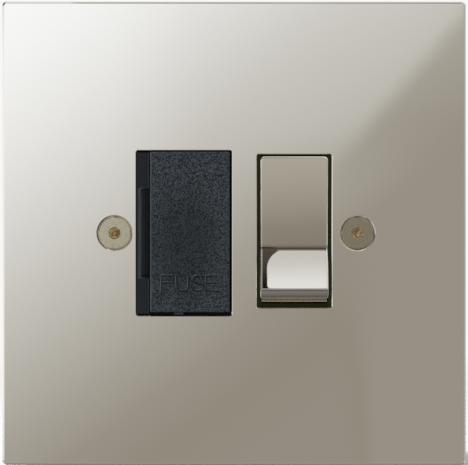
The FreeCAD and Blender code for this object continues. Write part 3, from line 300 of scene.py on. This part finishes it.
def black_moulding():
    plastic = Finish("black_moulding", Specular_IOR_Level=0.3, Emission_Strength=1.0)
    here = plastic.place()
    x, y, z = plastic.along(here)
    grain = plastic.noise(here, 0.28 * MM, detail=2.0, roughness=0.6)
    coarse = plastic.noise(here, 0.8 * MM, detail=2.0)
    # Painted light and shade: the carrier's face is darker in its middle and lighter towards its
    # edges
    out_x = (x - CARRIER_MIDDLE[0]) / CARRIER_REACH[0]
    out_z = (z - CARRIER_MIDDLE[1]) / CARRIER_REACH[1]
    rim = plastic.spread((out_x * out_x + out_z * out_z) ** 0.5, 0.25, 1.1)
    light = plastic.spread(grain + coarse * 0.25, 0.55, 0.70)
    raised = plastic.spread(y - CARRIER_LOW.y, *LETTERS_UP, 1.0, 0.0)
    edge = plastic.inside(x - CARRIER_LOW.x, *CARRIER_EDGE)
    shaded_grain = plastic.blend(light, (0.002, 0.003, 0.004, 1.0), (0.026, 0.036, 0.044, 1.0))
    pale = plastic.blend(light, (0.004, 0.006, 0.008, 1.0), (0.050, 0.064, 0.078, 1.0))
    face = plastic.blend(rim, shaded_grain, pale)
    # Painted light and shade on the raised letters: flanks facing up and left are lit, the others
    # dark
    slope_x, _, slope_z = plastic.along(plastic.node("ShaderNodeNewGeometry", output="Normal"))
    lit = plastic.spread(slope_z * 0.7 - slope_x * 0.8, -0.02, 0.5)
    lit_and_shaded_flank = plastic.blend(lit, (0.002, 0.003, 0.004, 1.0), (0.070, 0.084, 0.093, 1.0))
    lettered = plastic.blend(raised * 0.85, face, lit_and_shaded_flank)
    # Painted highlight: a lighter band along the carrier's left edge
    with_edge_highlight = plastic.blend(edge * 0.7, lettered, (0.052, 0.064, 0.072, 1.0))
    # Painted glow: the rocker's hub, right of HUB_LEFT, is olive and gives off faint olive light of
    # its own
    hub = x > HUB_LEFT
    plastic.vary(
        Base_Color=plastic.blend(hub, with_edge_highlight, (0.030, 0.036, 0.016, 1.0)),
        Emission_Color=plastic.blend(hub, (0, 0, 0, 1.0), (0.0110, 0.0135, 0.0050, 1.0)),
        Roughness=0.45 + grain * 0.2,
        Normal=plastic.bump(grain * 0.8 + coarse * 0.4, 0.07 * MM, 1 - raised * 0.7),
    )
    return plastic.material


# Dark moulding: the olive well round the rocker with a painted glow, the tool slot with painted
# light at its rim, and a painted highlight on the strip's edge
WELL_SIDES = (9.4, 9.9)
WELL_ENDS = (21.0, 21.4)
SLOT_ENDS = (11.1, 11.3)
SLOT_LEFT = -24.3 * MM
SLOT_RIM = -23.55 * MM
RIM_WIDTH = (0.04, 0.16)
SLOT_SHINE = (0.2, 1.2)
STRIP_RIGHT = -21.68 * MM
STRIP_HIGHLIGHT_WIDTH = (0.05, 0.17)


def dark_moulding():
    plastic = Finish("dark_moulding", Specular_IOR_Level=0.25, Emission_Strength=1.0)
    here = plastic.place()
    x, _, z = plastic.along(here)
    grain = plastic.noise(here, 0.3 * MM, detail=2.0)
    flow = plastic.noise(here, 12 * MM, detail=2.0)
    well = plastic.inside((x - WELL_MIDDLE).size(), *WELL_SIDES)
    well = well * plastic.inside(z.size(), *WELL_ENDS)
    slot = plastic.inside(z.size(), *SLOT_ENDS) * (x > SLOT_LEFT)
    # Painted light: the slot is lighter by its left rim, and a painted highlight runs along that
    # rim
    shine = plastic.inside(x - SLOT_RIM, *SLOT_SHINE) * slot
    rim = plastic.inside((x - SLOT_RIM).size(), *RIM_WIDTH) * slot
    # Painted highlight: a light line along the strip's right edge
    strip_edge_highlight = plastic.inside((x - STRIP_RIGHT).size(), *STRIP_HIGHLIGHT_WIDTH)
    matt = plastic.blend(flow, (0.007, 0.009, 0.013, 1.0), (0.011, 0.014, 0.018, 1.0))
    lighter = plastic.blend(shine, matt, (0.034, 0.040, 0.047, 1.0))
    rimmed = plastic.blend(rim, lighter, (0.095, 0.105, 0.12, 1.0))
    body = plastic.blend(strip_edge_highlight * (1 - slot), rimmed, (0.038, 0.044, 0.051, 1.0))
    # Painted glow: the well round the rocker is olive and gives off faint olive light of its own
    olive = plastic.blend(flow, (0.030, 0.036, 0.016, 1.0), (0.038, 0.046, 0.020, 1.0))
    plastic.vary(
        Base_Color=plastic.blend(well, body, olive),
        Roughness=0.45 + grain * 0.15,
        Normal=plastic.bump(grain, 0.02 * MM),
        Emission_Color=plastic.blend(well, (0, 0, 0, 1.0), (0.0150, 0.0180, 0.0068, 1.0)),
    )
    return plastic.material


def cover_moulding():
    plastic = Finish("cover_moulding", Specular_IOR_Level=0.45)
    here = plastic.place()
    grain = plastic.noise(here, 0.35 * MM, detail=3.0)
    flow = plastic.noise(here, 14 * MM, detail=3.0, distortion=0.8)
    plastic.vary(
        Base_Color=plastic.blend(flow, (0.62, 0.60, 0.54, 1.0), (0.68, 0.665, 0.605, 1.0)),
        Roughness=0.38 + grain * 0.15,
        Normal=plastic.bump(grain, 0.015 * MM),
    )
    return plastic.material


def acetal():
    plastic = Finish("acetal", Specular_IOR_Level=0.5)
    here = plastic.place()
    cloud = plastic.noise(here, 1.5 * MM, detail=3.0)
    plastic.vary(
        Base_Color=plastic.blend(cloud, (0.72, 0.72, 0.70, 1.0), (0.80, 0.80, 0.78, 1.0)),
        Roughness=0.3 + cloud * 0.1,
    )
    return plastic.material


def worked_metal(name, light, dark, roughness, grain_size, stain_size, depth):
    metal = Finish(name, Metallic=1.0)
    here = metal.place()
    fine = metal.noise(here, grain_size, detail=3.0)
    lines = metal.noise(metal.place(scale=(1, 1, 12)), grain_size, detail=2.0)
    stain = metal.spread(metal.noise(here, stain_size, detail=4.0, distortion=0.5), 0.38, 0.68)
    metal.vary(
        Base_Color=metal.blend(stain, light, dark),
        Roughness=roughness + fine * 0.12 + stain * 0.08,
        Normal=metal.bump(fine + lines * 0.5, depth),
    )
    return metal.material


def brass():
    light, dark = (0.83, 0.62, 0.28, 1.0), (0.66, 0.46, 0.19, 1.0)
    return worked_metal("brass", light, dark, 0.24, 0.5 * MM, 5 * MM, 0.008 * MM)


def copper_strip():
    light, dark = (0.84, 0.52, 0.34, 1.0), (0.62, 0.34, 0.20, 1.0)
    return worked_metal("copper_strip", light, dark, 0.28, 0.6 * MM, 6 * MM, 0.008 * MM)


def silver_tip():
    light, dark = (0.88, 0.87, 0.84, 1.0), (0.70, 0.68, 0.62, 1.0)
    return worked_metal("silver_tip", light, dark, 0.22, 0.3 * MM, 1.5 * MM, 0.004 * MM)


def steel():
    light, dark = (0.62, 0.63, 0.64, 1.0), (0.48, 0.48, 0.46, 1.0)
    return worked_metal("steel", light, dark, 0.26, 0.4 * MM, 3 * MM, 0.006 * MM)


def fuse_ceramic():
    glaze = Finish("fuse_ceramic", Specular_IOR_Level=0.5, Coat_Roughness=0.08)
    here = glaze.place()
    cloud = glaze.noise(here, 3 * MM, detail=3.0)
    speck = glaze.spread(glaze.noise(here, 0.4 * MM, detail=2.0), 0.66, 0.74)
    body = glaze.blend(cloud, (0.78, 0.76, 0.71, 1.0), (0.85, 0.84, 0.80, 1.0))
    glaze.vary(
        Base_Color=glaze.blend(speck * 0.4, body, (0.45, 0.42, 0.36, 1.0)),
        Roughness=0.3 + cloud * 0.1,
        Coat_Weight=0.3 + cloud * 0.2,
    )
    return glaze.material


# One finish for each slot of the record
MAKERS = [
    polished_nickel,
    nickel_screw,
    black_moulding,
    dark_moulding,
    cover_moulding,
    acetal,
    brass,
    copper_strip,
    silver_tip,
    steel,
    fuse_ceramic,
]
finishes = {maker.__name__: maker() for maker in MAKERS}


def dress_nodes():
    for subpart in frame["record"]["subparts"]:
        mesh = nodes[subpart["node"]].data
        mesh.materials.clear()
        mesh.materials.append(finishes[subpart["material_slot"]])


def add_piece(name, mesh, slot, body):
    piece = bpy.data.objects.new(name, mesh)
    bpy.context.scene.collection.objects.link(piece)
    mesh.materials.clear()
    mesh.materials.append(finishes[slot])
    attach(piece, body)
    return piece


# Rocker cap: the CAD mesh merged, its flat faces whole and its rounds shaded evenly
CAP_MERGE = 0.002 * MM
CAP_FLAT = math.radians(0.4)
CAP_SHARP = math.radians(2.9)


def rocker_cap_piece():
    form = bmesh.new()
    form.from_mesh(nodes["rocker_cap"].data)
    form.transform(nodes["rocker_cap"].matrix_world)
    bmesh.ops.remove_doubles(form, verts=form.verts, dist=CAP_MERGE)
    bmesh.ops.dissolve_limit(form, angle_limit=CAP_FLAT, verts=form.verts, edges=form.edges)
    mesh = bpy.data.meshes.new("rocker_cap_skin")
    form.to_mesh(mesh)
    form.free()
    mesh.shade_smooth()
    mesh.set_sharp_from_angle(angle=CAP_SHARP)
    skin = add_piece("rocker_cap_skin", mesh, "polished_nickel", "rocker")
    even = skin.modifiers.new("even", "WEIGHTED_NORMAL")
    even.weight = 100
    even.keep_sharp = True
    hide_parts("rocker_cap")
    return skin


# Painted shade: two dark olive strips put in the gaps beside the rocker, where there is only shade,
# in millimetres
SHADE_STRIP_SIDES = ((5.0, 6.4), (22.5, 23.85))
SHADE_STRIP_DEPTHS = (12.9, 13.2)
SHADE_STRIP_HALF = 20.5


def gap_shade_strips():
    form = bmesh.new()
    front, rear = SHADE_STRIP_DEPTHS
    for left, right in SHADE_STRIP_SIDES:
        middle = Vector((left + right, front + rear, 0)) * MM / 2
        size = Matrix.Diagonal(Vector((right - left, rear - front, 2 * SHADE_STRIP_HALF, 1)))
        place = Matrix.Translation(middle) @ Matrix.Scale(MM, 4) @ size
        bmesh.ops.create_cube(form, size=1.0, matrix=place)
    mesh = bpy.data.meshes.new("gap_shade_strips")
    form.to_mesh(mesh)
    form.free()
    return add_piece("gap_shade_strips", mesh, "dark_moulding", "fixed_unit")


# Fixing screws: a head with a rounded edge and a six-sided socket, and a rolled thread
HEAD_EDGE = 0.12 * MM
EDGE_SHARE = 0.3
HEAD_LAND = 0.3 * MM
HEAD_RADIUS = 3.95 * MM
THREAD_ROOT = 1.4 * MM
THREAD_CREST = 1.74 * MM
THREAD_PITCH = 0.6 * MM
CREST_SPAN = (0.45, 0.55)
THREAD_START = -0.05 * MM
TIP_BEVEL = 0.3 * MM
SOCKET_RADIUS = 1.68 * MM
SOCKET_DEPTH = 1.2 * MM
SOCKET_ROUND = 0.4 * MM
SOCKET_FLOOR = 0.85 * MM
SOCKET_TIP = 0.25 * MM
TURN_STEPS = 24
HEAD_STEPS = 48
SCREW_SHARP = math.radians(12)
TOUCHING = 0.001 * MM


def screw_head(form, profile):
    """Turn a profile of (radius, depth) round the Y axis."""
    verts = [form.verts.new((radius, depth, 0)) for radius, depth in profile]
    edges = [form.edges.new(pair) for pair in zip(verts, verts[1:])]
    bmesh.ops.spin(
        form,
        geom=verts + edges,
        cent=(0, 0, 0),
        axis=(0, 1, 0),
        angle=math.tau,
        steps=HEAD_STEPS,
        use_merge=True,
    )


def round_corners(form, corners, offset, segments):
    bmesh.ops.bevel(
        form,
        geom=corners,
        offset=offset,
        segments=segments,
        profile=0.5,
        affect="VERTICES",
        material=-1,
    )


def screw_socket(form, top):
    """Close the head's face round a six-sided opening and sink the opening."""

    def on_top(edge):
        return all(abs(vert.co.y - top) < TOUCHING for vert in edge.verts)

    face_on = Matrix.Translation((0, top, 0)) @ Matrix.Rotation(math.radians(90), 4, "X")
    ring = bmesh.ops.create_circle(form, segments=6, radius=SOCKET_RADIUS, matrix=face_on)
    round_corners(form, ring["verts"], SOCKET_ROUND, 3)
    level = [edge for edge in form.edges if on_top(edge)]
    bmesh.ops.triangle_fill(form, edges=level, use_beauty=True)
    rim = [edge for edge in level if edge.verts[0].co.xz.length < SOCKET_RADIUS + TOUCHING]
    walls = bmesh.ops.extrude_edge_only(form, edges=rim)["geom"]
    foot = {part for part in walls if isinstance(part, bmesh.types.BMVert)}
    bmesh.ops.translate(form, verts=list(foot), vec=(0, SOCKET_DEPTH, 0))
    edges = [part for part in walls if isinstance(part, bmesh.types.BMEdge)]
    lower = [edge for edge in edges if foot.issuperset(edge.verts)]
    floor = bmesh.ops.contextual_create(form, geom=lower)["faces"]
    bmesh.ops.inset_region(form, faces=floor, thickness=SOCKET_FLOOR)
    bmesh.ops.poke(form, faces=floor, offset=-SOCKET_TIP)


def screw_thread(turns):
    """A rolled thread along Y, made with the Screw modifier round Z."""
    form = bmesh.new()
    radii = (THREAD_ROOT, THREAD_CREST, THREAD_CREST, THREAD_ROOT)
    shares = (0, *CREST_SPAN, 1)
    verts = [form.verts.new((radius, 0, THREAD_PITCH * up)) for radius, up in zip(radii, shares)]
    for pair in zip(verts, verts[1:]):
        form.edges.new(pair)
    profile = bpy.data.meshes.new("thread_profile")
    form.to_mesh(profile)
    form.free()
    thread = bpy.data.objects.new("thread_profile", profile)
    bpy.context.scene.collection.objects.link(thread)
    screw = thread.modifiers.new("screw", "SCREW")
    screw.screw_offset = THREAD_PITCH
    screw.iterations = turns
    screw.steps = screw.render_steps = TURN_STEPS
    bpy.context.view_layer.update()
    turned = thread.evaluated_get(bpy.context.evaluated_depsgraph_get())
    whole = bpy.data.meshes.new_from_object(turned)
    bpy.data.objects.remove(thread)
    along_y = Matrix.Rotation(math.radians(-90), 4, "X")
    whole.transform(Matrix.Translation((0, THREAD_START, 0)) @ along_y)
    return whole


def fixing_screw_piece():
    top, end = SCREWS_LOW.y, SCREWS_HIGH.y
    taper_start = top + HEAD_LAND
    head = [
        (HEAD_RADIUS - HEAD_EDGE, top),
        (HEAD_RADIUS - HEAD_EDGE * EDGE_SHARE, top + HEAD_EDGE * EDGE_SHARE),
        (HEAD_RADIUS, top + HEAD_EDGE),
        (HEAD_RADIUS, taper_start),
        (THREAD_ROOT, taper_start + HEAD_RADIUS - THREAD_ROOT),
        (THREAD_ROOT, end - TIP_BEVEL),
        (THREAD_ROOT - TIP_BEVEL, end),
        (0, end),
    ]
    form = bmesh.new()
    screw_head(form, head)
    screw_socket(form, top)
    turns = int((end - THREAD_START - TIP_BEVEL) / THREAD_PITCH) - 1
    form.from_mesh(screw_thread(turns))
    bmesh.ops.recalc_face_normals(form, faces=form.faces)
    twin = bmesh.ops.duplicate(form, geom=form.verts[:] + form.edges[:] + form.faces[:])["geom"]
    second = [part for part in twin if isinstance(part, bmesh.types.BMVert)]
    bmesh.ops.translate(form, verts=form.verts, vec=(-SCREW_X, 0, 0))
    bmesh.ops.translate(form, verts=second, vec=(2 * SCREW_X, 0, 0))
    mesh = bpy.data.meshes.new("fixing_screw_pair")
    form.to_mesh(mesh)
    form.free()
    mesh.shade_smooth()
    mesh.set_sharp_from_angle(angle=SCREW_SHARP)
    pair = add_piece("fixing_screw_pair", mesh, "nickel_screw", "fixed_unit")
    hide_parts("fixing_screws")
    return pair


# Raised word on the carrier: round strokes, partly sunk in its face
LETTER_HEIGHT = 3.8 * MM
LETTER_FOOT = CARRIER_LOW.z + 5.95 * MM
LETTER_SINK = 0.13 * MM
STROKE = 0.33 * MM
MOST_STRAIGHT = 4
LETTERS = {
    "F": (-18.55, 3.0, [[(0, 0), (0, 1), (1, 1)], [(0, 0.54), (0.85, 0.54)]]),
    "U": (-14.8, 3.0, [[(0, 1), (0, 0.3), (0.12, 0.06), (0.5, 0), (0.88, 0.06), (1, 0.3), (1, 1)]]),
    "S": (
        -10.95,
        2.9,
        [
            [
                (1, 0.82),
                (0.86, 0.96),
                (0.5, 1.0),
                (0.1, 0.94),
                (0.04, 0.66),
                (0.5, 0.52),
                (0.96, 0.38),
                (0.94, 0.08),
                (0.5, 0),
                (0.12, 0.04),
                (0, 0.2),
            ]
        ],
    ),
    "E": (-7.5, 3.0, [[(1, 1), (0, 1), (0, 0), (1, 0)], [(0, 0.52), (0.88, 0.52)]]),
}


def fuse_letters():
    """Each letter has its left edge and its width in mm, and its strokes in a unit box."""
    face = CARRIER_LOW.y + LETTER_SINK
    curve = bpy.data.curves.new("fuse_letters", "CURVE")
    curve.dimensions = "3D"
    curve.bevel_depth = STROKE
    curve.bevel_resolution = 3
    curve.use_fill_caps = True
    for start, width, strokes in LETTERS.values():
        for stroke in strokes:
            bent = len(stroke) > MOST_STRAIGHT
            line = curve.splines.new("NURBS" if bent else "POLY")
            line.points.add(len(stroke) - 1)
            for point, (across, up) in zip(line.points, stroke):
                x = (start + width * across) * MM
                point.co = (x, face, LETTER_FOOT + up * LETTER_HEIGHT, 1)
            if bent:
                line.use_endpoint_u = True
                line.order_u = 3
    word = bpy.data.objects.new("fuse_letters_line", curve)
    bpy.context.scene.collection.objects.link(word)
    bpy.context.view_layer.update()
    mesh = bpy.data.meshes.new_from_object(word)
    bpy.data.objects.remove(word)
    mesh.shade_smooth()
    return add_piece("fuse_letters", mesh, "black_moulding", "carrier")


# Stage: floor, world, lamps and the cards that the polished metal mirrors
ROOM_LIGHT = 0.42
PAPER = (0.945, 0.932, 0.918, 1.0)
DOME_RADIUS = 12.0
DOME_LEVELS = [
    (0.0, grey(0.17)),
    (0.004, grey(0.2)),
    (0.009, grey(0.26)),
    (0.016, grey(0.23)),
    (0.03, grey(0.15)),
    (0.06, grey(0.1)),
    (0.12, grey(0.15)),
    (0.18, grey(0.3)),
    (0.24, grey(0.66)),
    (0.35, grey(0.78)),
    (0.47, grey(0.5)),
    (0.5, grey(0.46)),
    (0.6, grey(0.7)),
    (0.75, grey(0.8)),
    (1.0, grey(0.98)),
]
LEFT_LEVELS = [
    (0.0, grey(0.45)),
    (0.25, grey(0.74)),
    (0.33, grey(0.68)),
    (0.4, grey(0.5)),
    (0.46, grey(0.5)),
    (0.475, grey(1.1)),
    (0.525, grey(1.1)),
    (0.55, grey(0.24)),
    (0.6, grey(0.08)),
    (1.0, grey(0.5)),
]
LEFT_FADE = (-0.4, -0.15)
FLOOR_HALF = 3.0
FLOOR_GAP = 0.3 * MM
FLOOR_NEAR, FLOOR_FAR = 0.3, 0.9
CARD_Y = -5.0
CARD_HALF = 1.6
MIRROR = (PLATE_FRONT - CARD_Y) / (PLATE_FRONT - CAMERA_AT.y)


def sheet(name, form, materials):
    mesh = bpy.data.meshes.new(name)
    form.to_mesh(mesh)
    form.free()
    for material in materials:
        mesh.materials.append(material)
    piece = bpy.data.objects.new(name, mesh)
    bpy.context.scene.collection.objects.link(piece)
    return piece


def square(name, half, material, place):
    form = bmesh.new()
    bmesh.ops.create_grid(form, size=half, matrix=place)
    return sheet(name, form, [material])


def glow(name):
    return Finish(name, Base_Color=grey(0), Specular_IOR_Level=0.0, Emission_Strength=1.0)


def lit_colour(red, green, blue):
    """The light that nickel mirrors as this colour of 0 to 255."""
    levels = [((value / 255 + 0.055) / 1.055) ** 2.4 for value in (red, green, blue)]
    return (*[level / metal for level, metal in zip(levels, NICKEL)], 1.0)


# Wall card: what the plate mirrors, laid out by place on the plate in millimetres
PLATE_LIGHT = [
    (-100, lit_colour(248, 248, 247)),
    (-84, lit_colour(243, 243, 241)),
    (-63, lit_colour(231, 230, 227)),
    (-44, lit_colour(216, 214, 209)),
    (-24, lit_colour(198, 195, 188)),
    (-4, lit_colour(180, 176, 167)),
    (11, lit_colour(166, 161, 150)),
    (26, lit_colour(152, 145, 134)),
    (40, lit_colour(145, 138, 125)),
    (60, lit_colour(147, 140, 128)),
]
LIGHT_TILT = 0.73
LOBE_AT, LOBE_ALONG = (56.4, 52.9), (0.755, -0.656)
LOBE_SHIFT = 11.0
LOBE_TURN, LOBE_NEAR, LOBE_FADE = (-4.0, 3.0), (-32.0, -2.0), (2.0, 30.0)
LOBE_UPS = (8.0, 30.0)
MIDDLE_SHIFT = 7.0
MIDDLE_SIDES, MIDDLE_UPS = (-34.0, -6.0), (-30.0, 0.0)
RIGHT_MOST = 28.0
RIGHT_SIDES = (22.0, 36.0)
FACET_LIGHT = [
    (0.0, lit_colour(130, 122, 109)),
    (0.22, lit_colour(137, 129, 116)),
    (0.45, lit_colour(152, 144, 130)),
    (0.72, lit_colour(165, 157, 143)),
    (1.0, lit_colour(174, 166, 152)),
]
FACET_FOOT, FACET_HEIGHT, FACET_TILT = -92.5, 24.5, 0.06
FACET_UPS = (-66.0, -63.0)
TOP_LIGHT = (lit_colour(72, 64, 54), lit_colour(120, 113, 100))
TOP_SIDES, TOP_UPS = (8.0, 11.0), (64.0, 68.0)


def wall_glow():
    """The plate's light, with the facet's below it and that of the top edges above it."""
    card = glow("wall_glow")
    x, _, z = card.along(card.place())
    across = (x + CAMERA_AT.x * MIRROR) / ((1 + MIRROR) * MM)
    up = (z + CAMERA_AT.z * MIRROR) / ((1 + MIRROR) * MM)
    beyond = (across - LOBE_AT[0]) * LOBE_ALONG[0] + (up - LOBE_AT[1]) * LOBE_ALONG[1]
    turn = card.spread(beyond, *LOBE_TURN, 1.0, 0.0)
    near = card.spread(beyond, *LOBE_NEAR)
    fade = card.spread(beyond, *LOBE_FADE, 1.0, 0.0)
    lobe = near * turn * -LOBE_SHIFT + (1 - turn) * fade * LOBE_SHIFT
    middle = card.spread(across, *MIDDLE_SIDES) * card.spread(up, *MIDDLE_UPS)
    slope = across * LIGHT_TILT - up
    shifted = slope + lobe * card.spread(up, *LOBE_UPS) + middle * MIDDLE_SHIFT
    right = card.spread(across, *RIGHT_SIDES)
    level = shifted.at_most(RIGHT_MOST) * right + shifted * (1 - right)
    start, end = PLATE_LIGHT[0][0], PLATE_LIGHT[-1][0]
    placed = [((position - start) / (end - start), colour) for position, colour in PLATE_LIGHT]
    plate = card.ramp((level - start) / (end - start), placed)
    facet = card.ramp((up - across * FACET_TILT - FACET_FOOT) / FACET_HEIGHT, FACET_LIGHT)
    top = card.blend(card.spread(across, *TOP_SIDES), *TOP_LIGHT)
    low = card.spread(up, *FACET_UPS, 1.0, 0.0)
    high = card.spread(up, *TOP_UPS)
    card.vary(Emission_Color=card.blend(high, card.blend(low, plate, facet), top))
    return card.material


# The ramp of the rocker looks up at 45 degrees to a round-cornered card before a dark one
RAMP_MIDDLE = Vector((14.43, -4.52, -8.84)) * MM
RAMP_NORMAL = Vector((0, -0.924, 0.382)).normalized()
RAMP_REACH = 0.8
PATCH_LOW, PATCH_HIGH = (7.68, -13.81), (22.39, -3.7)
PATCH_ROUNDS = (1.5, 0.6, 5.0, 0.9)
PATCH_RIM = 0.22
PATCH_UPS, RIM_UPS = (-13.9, -4.4), (-12.0, -4.4)
VALLEY_LOW, VALLEY_HIGH = (10.2, -120.0), (22.2, -14.0)
DARK_LOW, DARK_HIGH = (-40.0, -218.0), (70.0, 60.0)
VALLEY_BEHIND, DARK_BEHIND = 0.02, 0.1
DARK_FOOT = (0.04, 0.003)


def ramp_sees(across, up, behind=0.0):
    """The place that the camera sees in the ramp at this place of the picture, in mm."""
    seen = Vector((across * MM, RAMP_MIDDLE.y, up * MM))
    far = seen + (seen - CAMERA_AT) * (RAMP_REACH + behind) / (seen.y - CAMERA_AT.y)
    return far - 2 * RAMP_NORMAL * (far - RAMP_MIDDLE).dot(RAMP_NORMAL)


def ramp_card(name, low, high, material, behind=0.0, rounds=None, rim=None):
    """A card between two places of the picture, its rounds given in rows from the lower left."""
    form = bmesh.new()
    corners = bmesh.ops.create_grid(form, x_segments=1, y_segments=1, size=1.0)["verts"]
    spans = list(zip(low, high))
    for corner in corners:
        across, up = [span[side > 0] for span, side in zip(spans, corner.co)]
        corner.co = ramp_sees(across, up, behind)
    scale = 1 + RAMP_REACH / (RAMP_MIDDLE.y - CAMERA_AT.y)
    for corner, radius in zip(corners, rounds or ()):
        round_corners(form, [corner], radius * scale * MM, 8)
    materials = [material]
    if rim:
        rim_material, width = rim
        materials.append(rim_material)
        thickness = width * scale * MM
        ring = bmesh.ops.inset_region(form, faces=form.faces, thickness=thickness)["faces"]
        for part in ring:
            part.material_index = 1
    card = sheet(name, form, materials)
    card.visible_camera = False
    card.visible_diffuse = False
    card.visible_shadow = False
    return card


def ramp_heights(ups, behind=0.0):
    return [ramp_sees(RAMP_MIDDLE.x / MM, up, behind).z for up in ups]


def height_glow(name, ups, foot, top, behind=0.0):
    """Light that goes from the foot's colour to the top's between two heights."""
    card = glow(name)
    height = card.along(card.place())[2]
    light = card.spread(height, *ramp_heights(ups, behind))
    card.vary(Emission_Color=card.blend(light, lit_colour(*foot), lit_colour(*top)))
    return card.material


def dark_glow():
    card = glow("dark_glow")
    height = card.along(card.place())[2]
    foot, top = ramp_heights(PATCH_UPS, DARK_BEHIND)
    light = card.spread(height, foot, top)
    margin = card.blend(light, lit_colour(20, 16, 14), lit_colour(74, 67, 58))
    below = card.spread(height, foot - DARK_FOOT[0], foot - DARK_FOOT[1])
    card.vary(Emission_Color=card.blend(below, lit_colour(84, 76, 64), margin))
    return card.material


def dome_glow():
    dome = glow("dome_glow")
    x, _, z = dome.along(dome.place(scale=(DOME_RADIUS, DOME_RADIUS, DOME_RADIUS)))
    height = z * 0.5 + 0.5
    round_about = dome.ramp(height, DOME_LEVELS)
    left = dome.ramp(height, LEFT_LEVELS)
    to_left = dome.spread(x, *LEFT_FADE, 1.0, 0.0)
    dome.vary(Emission_Color=dome.blend(to_left, round_about, left))
    return dome.material


def floor_paint():
    """Pale paint that fades, for the camera alone, to the colour of the background."""
    paint = Finish("pale_floor", Roughness=0.8, Specular_IOR_Level=0.0, Emission_Strength=1.0)
    here = paint.place()
    x, y, _ = paint.along(here)
    camera = paint.node("ShaderNodeLightPath", output="Is Camera Ray")
    far = paint.spread((x * x + y * y) ** 0.5, FLOOR_NEAR, FLOOR_FAR) * camera
    pale = paint.blend(paint.noise(here, 0.2, detail=2.0), grey(0.93), grey(0.96))
    paint.vary(
        Base_Color=paint.blend(far, pale, grey(0)),
        Emission_Color=paint.blend(far, grey(0), PAPER),
    )
    return paint.material


def set_stage():
    level = Matrix.Translation((0, 0, cad_low.z - FLOOR_GAP))
    floor = square("floor", FLOOR_HALF, floor_paint(), level)
    floor.visible_glossy = False
    upright = Matrix.Translation((0, CARD_Y, 0)) @ Matrix.Rotation(math.radians(-90), 4, "X")
    wall = square("wall_card", CARD_HALF, wall_glow(), upright)
    wall.visible_camera = False
    valley_ups = (VALLEY_LOW[1], VALLEY_HIGH[1])
    patch = height_glow("patch_glow", PATCH_UPS, (225, 223, 217), (196, 191, 184))
    rim = height_glow("rim_glow", RIM_UPS, (252, 251, 249), (200, 195, 188))
    valley = height_glow(
        "valley_glow", valley_ups, (132, 126, 114), (120, 113, 102), VALLEY_BEHIND
    )
    ramp_card(
        "patch_card", PATCH_LOW, PATCH_HIGH, patch, rounds=PATCH_ROUNDS, rim=(rim, PATCH_RIM)
    )
    ramp_card("valley_card", VALLEY_LOW, VALLEY_HIGH, valley, behind=VALLEY_BEHIND)
    ramp_card("dark_card", DARK_LOW, DARK_HIGH, dark_glow(), behind=DARK_BEHIND)
    add_dome()


def add_dome():
    form = bmesh.new()
    bmesh.ops.create_icosphere(form, subdivisions=4, radius=DOME_RADIUS)
    bmesh.ops.reverse_faces(form, faces=form.faces)
    dome = sheet("dome", form, [dome_glow()])
    dome.visible_camera = False
    dome.visible_diffuse = False
    dome.visible_transmission = False
    dome.visible_shadow = False


def add_lamp(name, place, aim, width, height, watts):
    data = bpy.data.lights.new(name, "AREA")
    data.shape = "RECTANGLE"
    data.size = width
    data.size_y = height
    data.energy = watts
    lamp = bpy.data.objects.new(name, data)
    lamp.visible_glossy = False
    lamp.location = place
    lamp.rotation_euler = (Vector(aim) - Vector(place)).to_track_quat("-Z", "Y").to_euler()
    bpy.context.scene.collection.objects.link(lamp)
    return lamp


def set_world():
    world = bpy.data.worlds.new("studio")
    world.use_nodes = True
    bpy.context.scene.world = world
    studio = Graph(world.node_tree)
    rays = ("Is Camera Ray", "Is Glossy Ray", "Is Transmission Ray")
    camera, glossy, through = [studio.node("ShaderNodeLightPath", output=ray) for ray in rays]
    seen = (camera + glossy + through).at_most(1.0)
    strength = seen * (1 - ROOM_LIGHT) + ROOM_LIGHT
    back = studio.node("ShaderNodeBackground", None, {"Color": PAPER, "Strength": strength})
    studio.node("ShaderNodeOutputWorld", None, {"Surface": back})


dress_nodes()
rocker_cap_piece()
gap_shade_strips()
fixing_screw_piece()
fuse_letters()
set_stage()
add_lamp("key_lamp", (-1.1, -0.42, 1.1), (0, 0, 0), 0.4, 0.4, 23)
add_lamp("fill_lamp", (1.4, 0.9, 0.9), (0, 0, 0), 1.0, 1.0, 7)
set_world()
set_camera()
bpy.context.scene.view_settings.view_transform = "Standard"
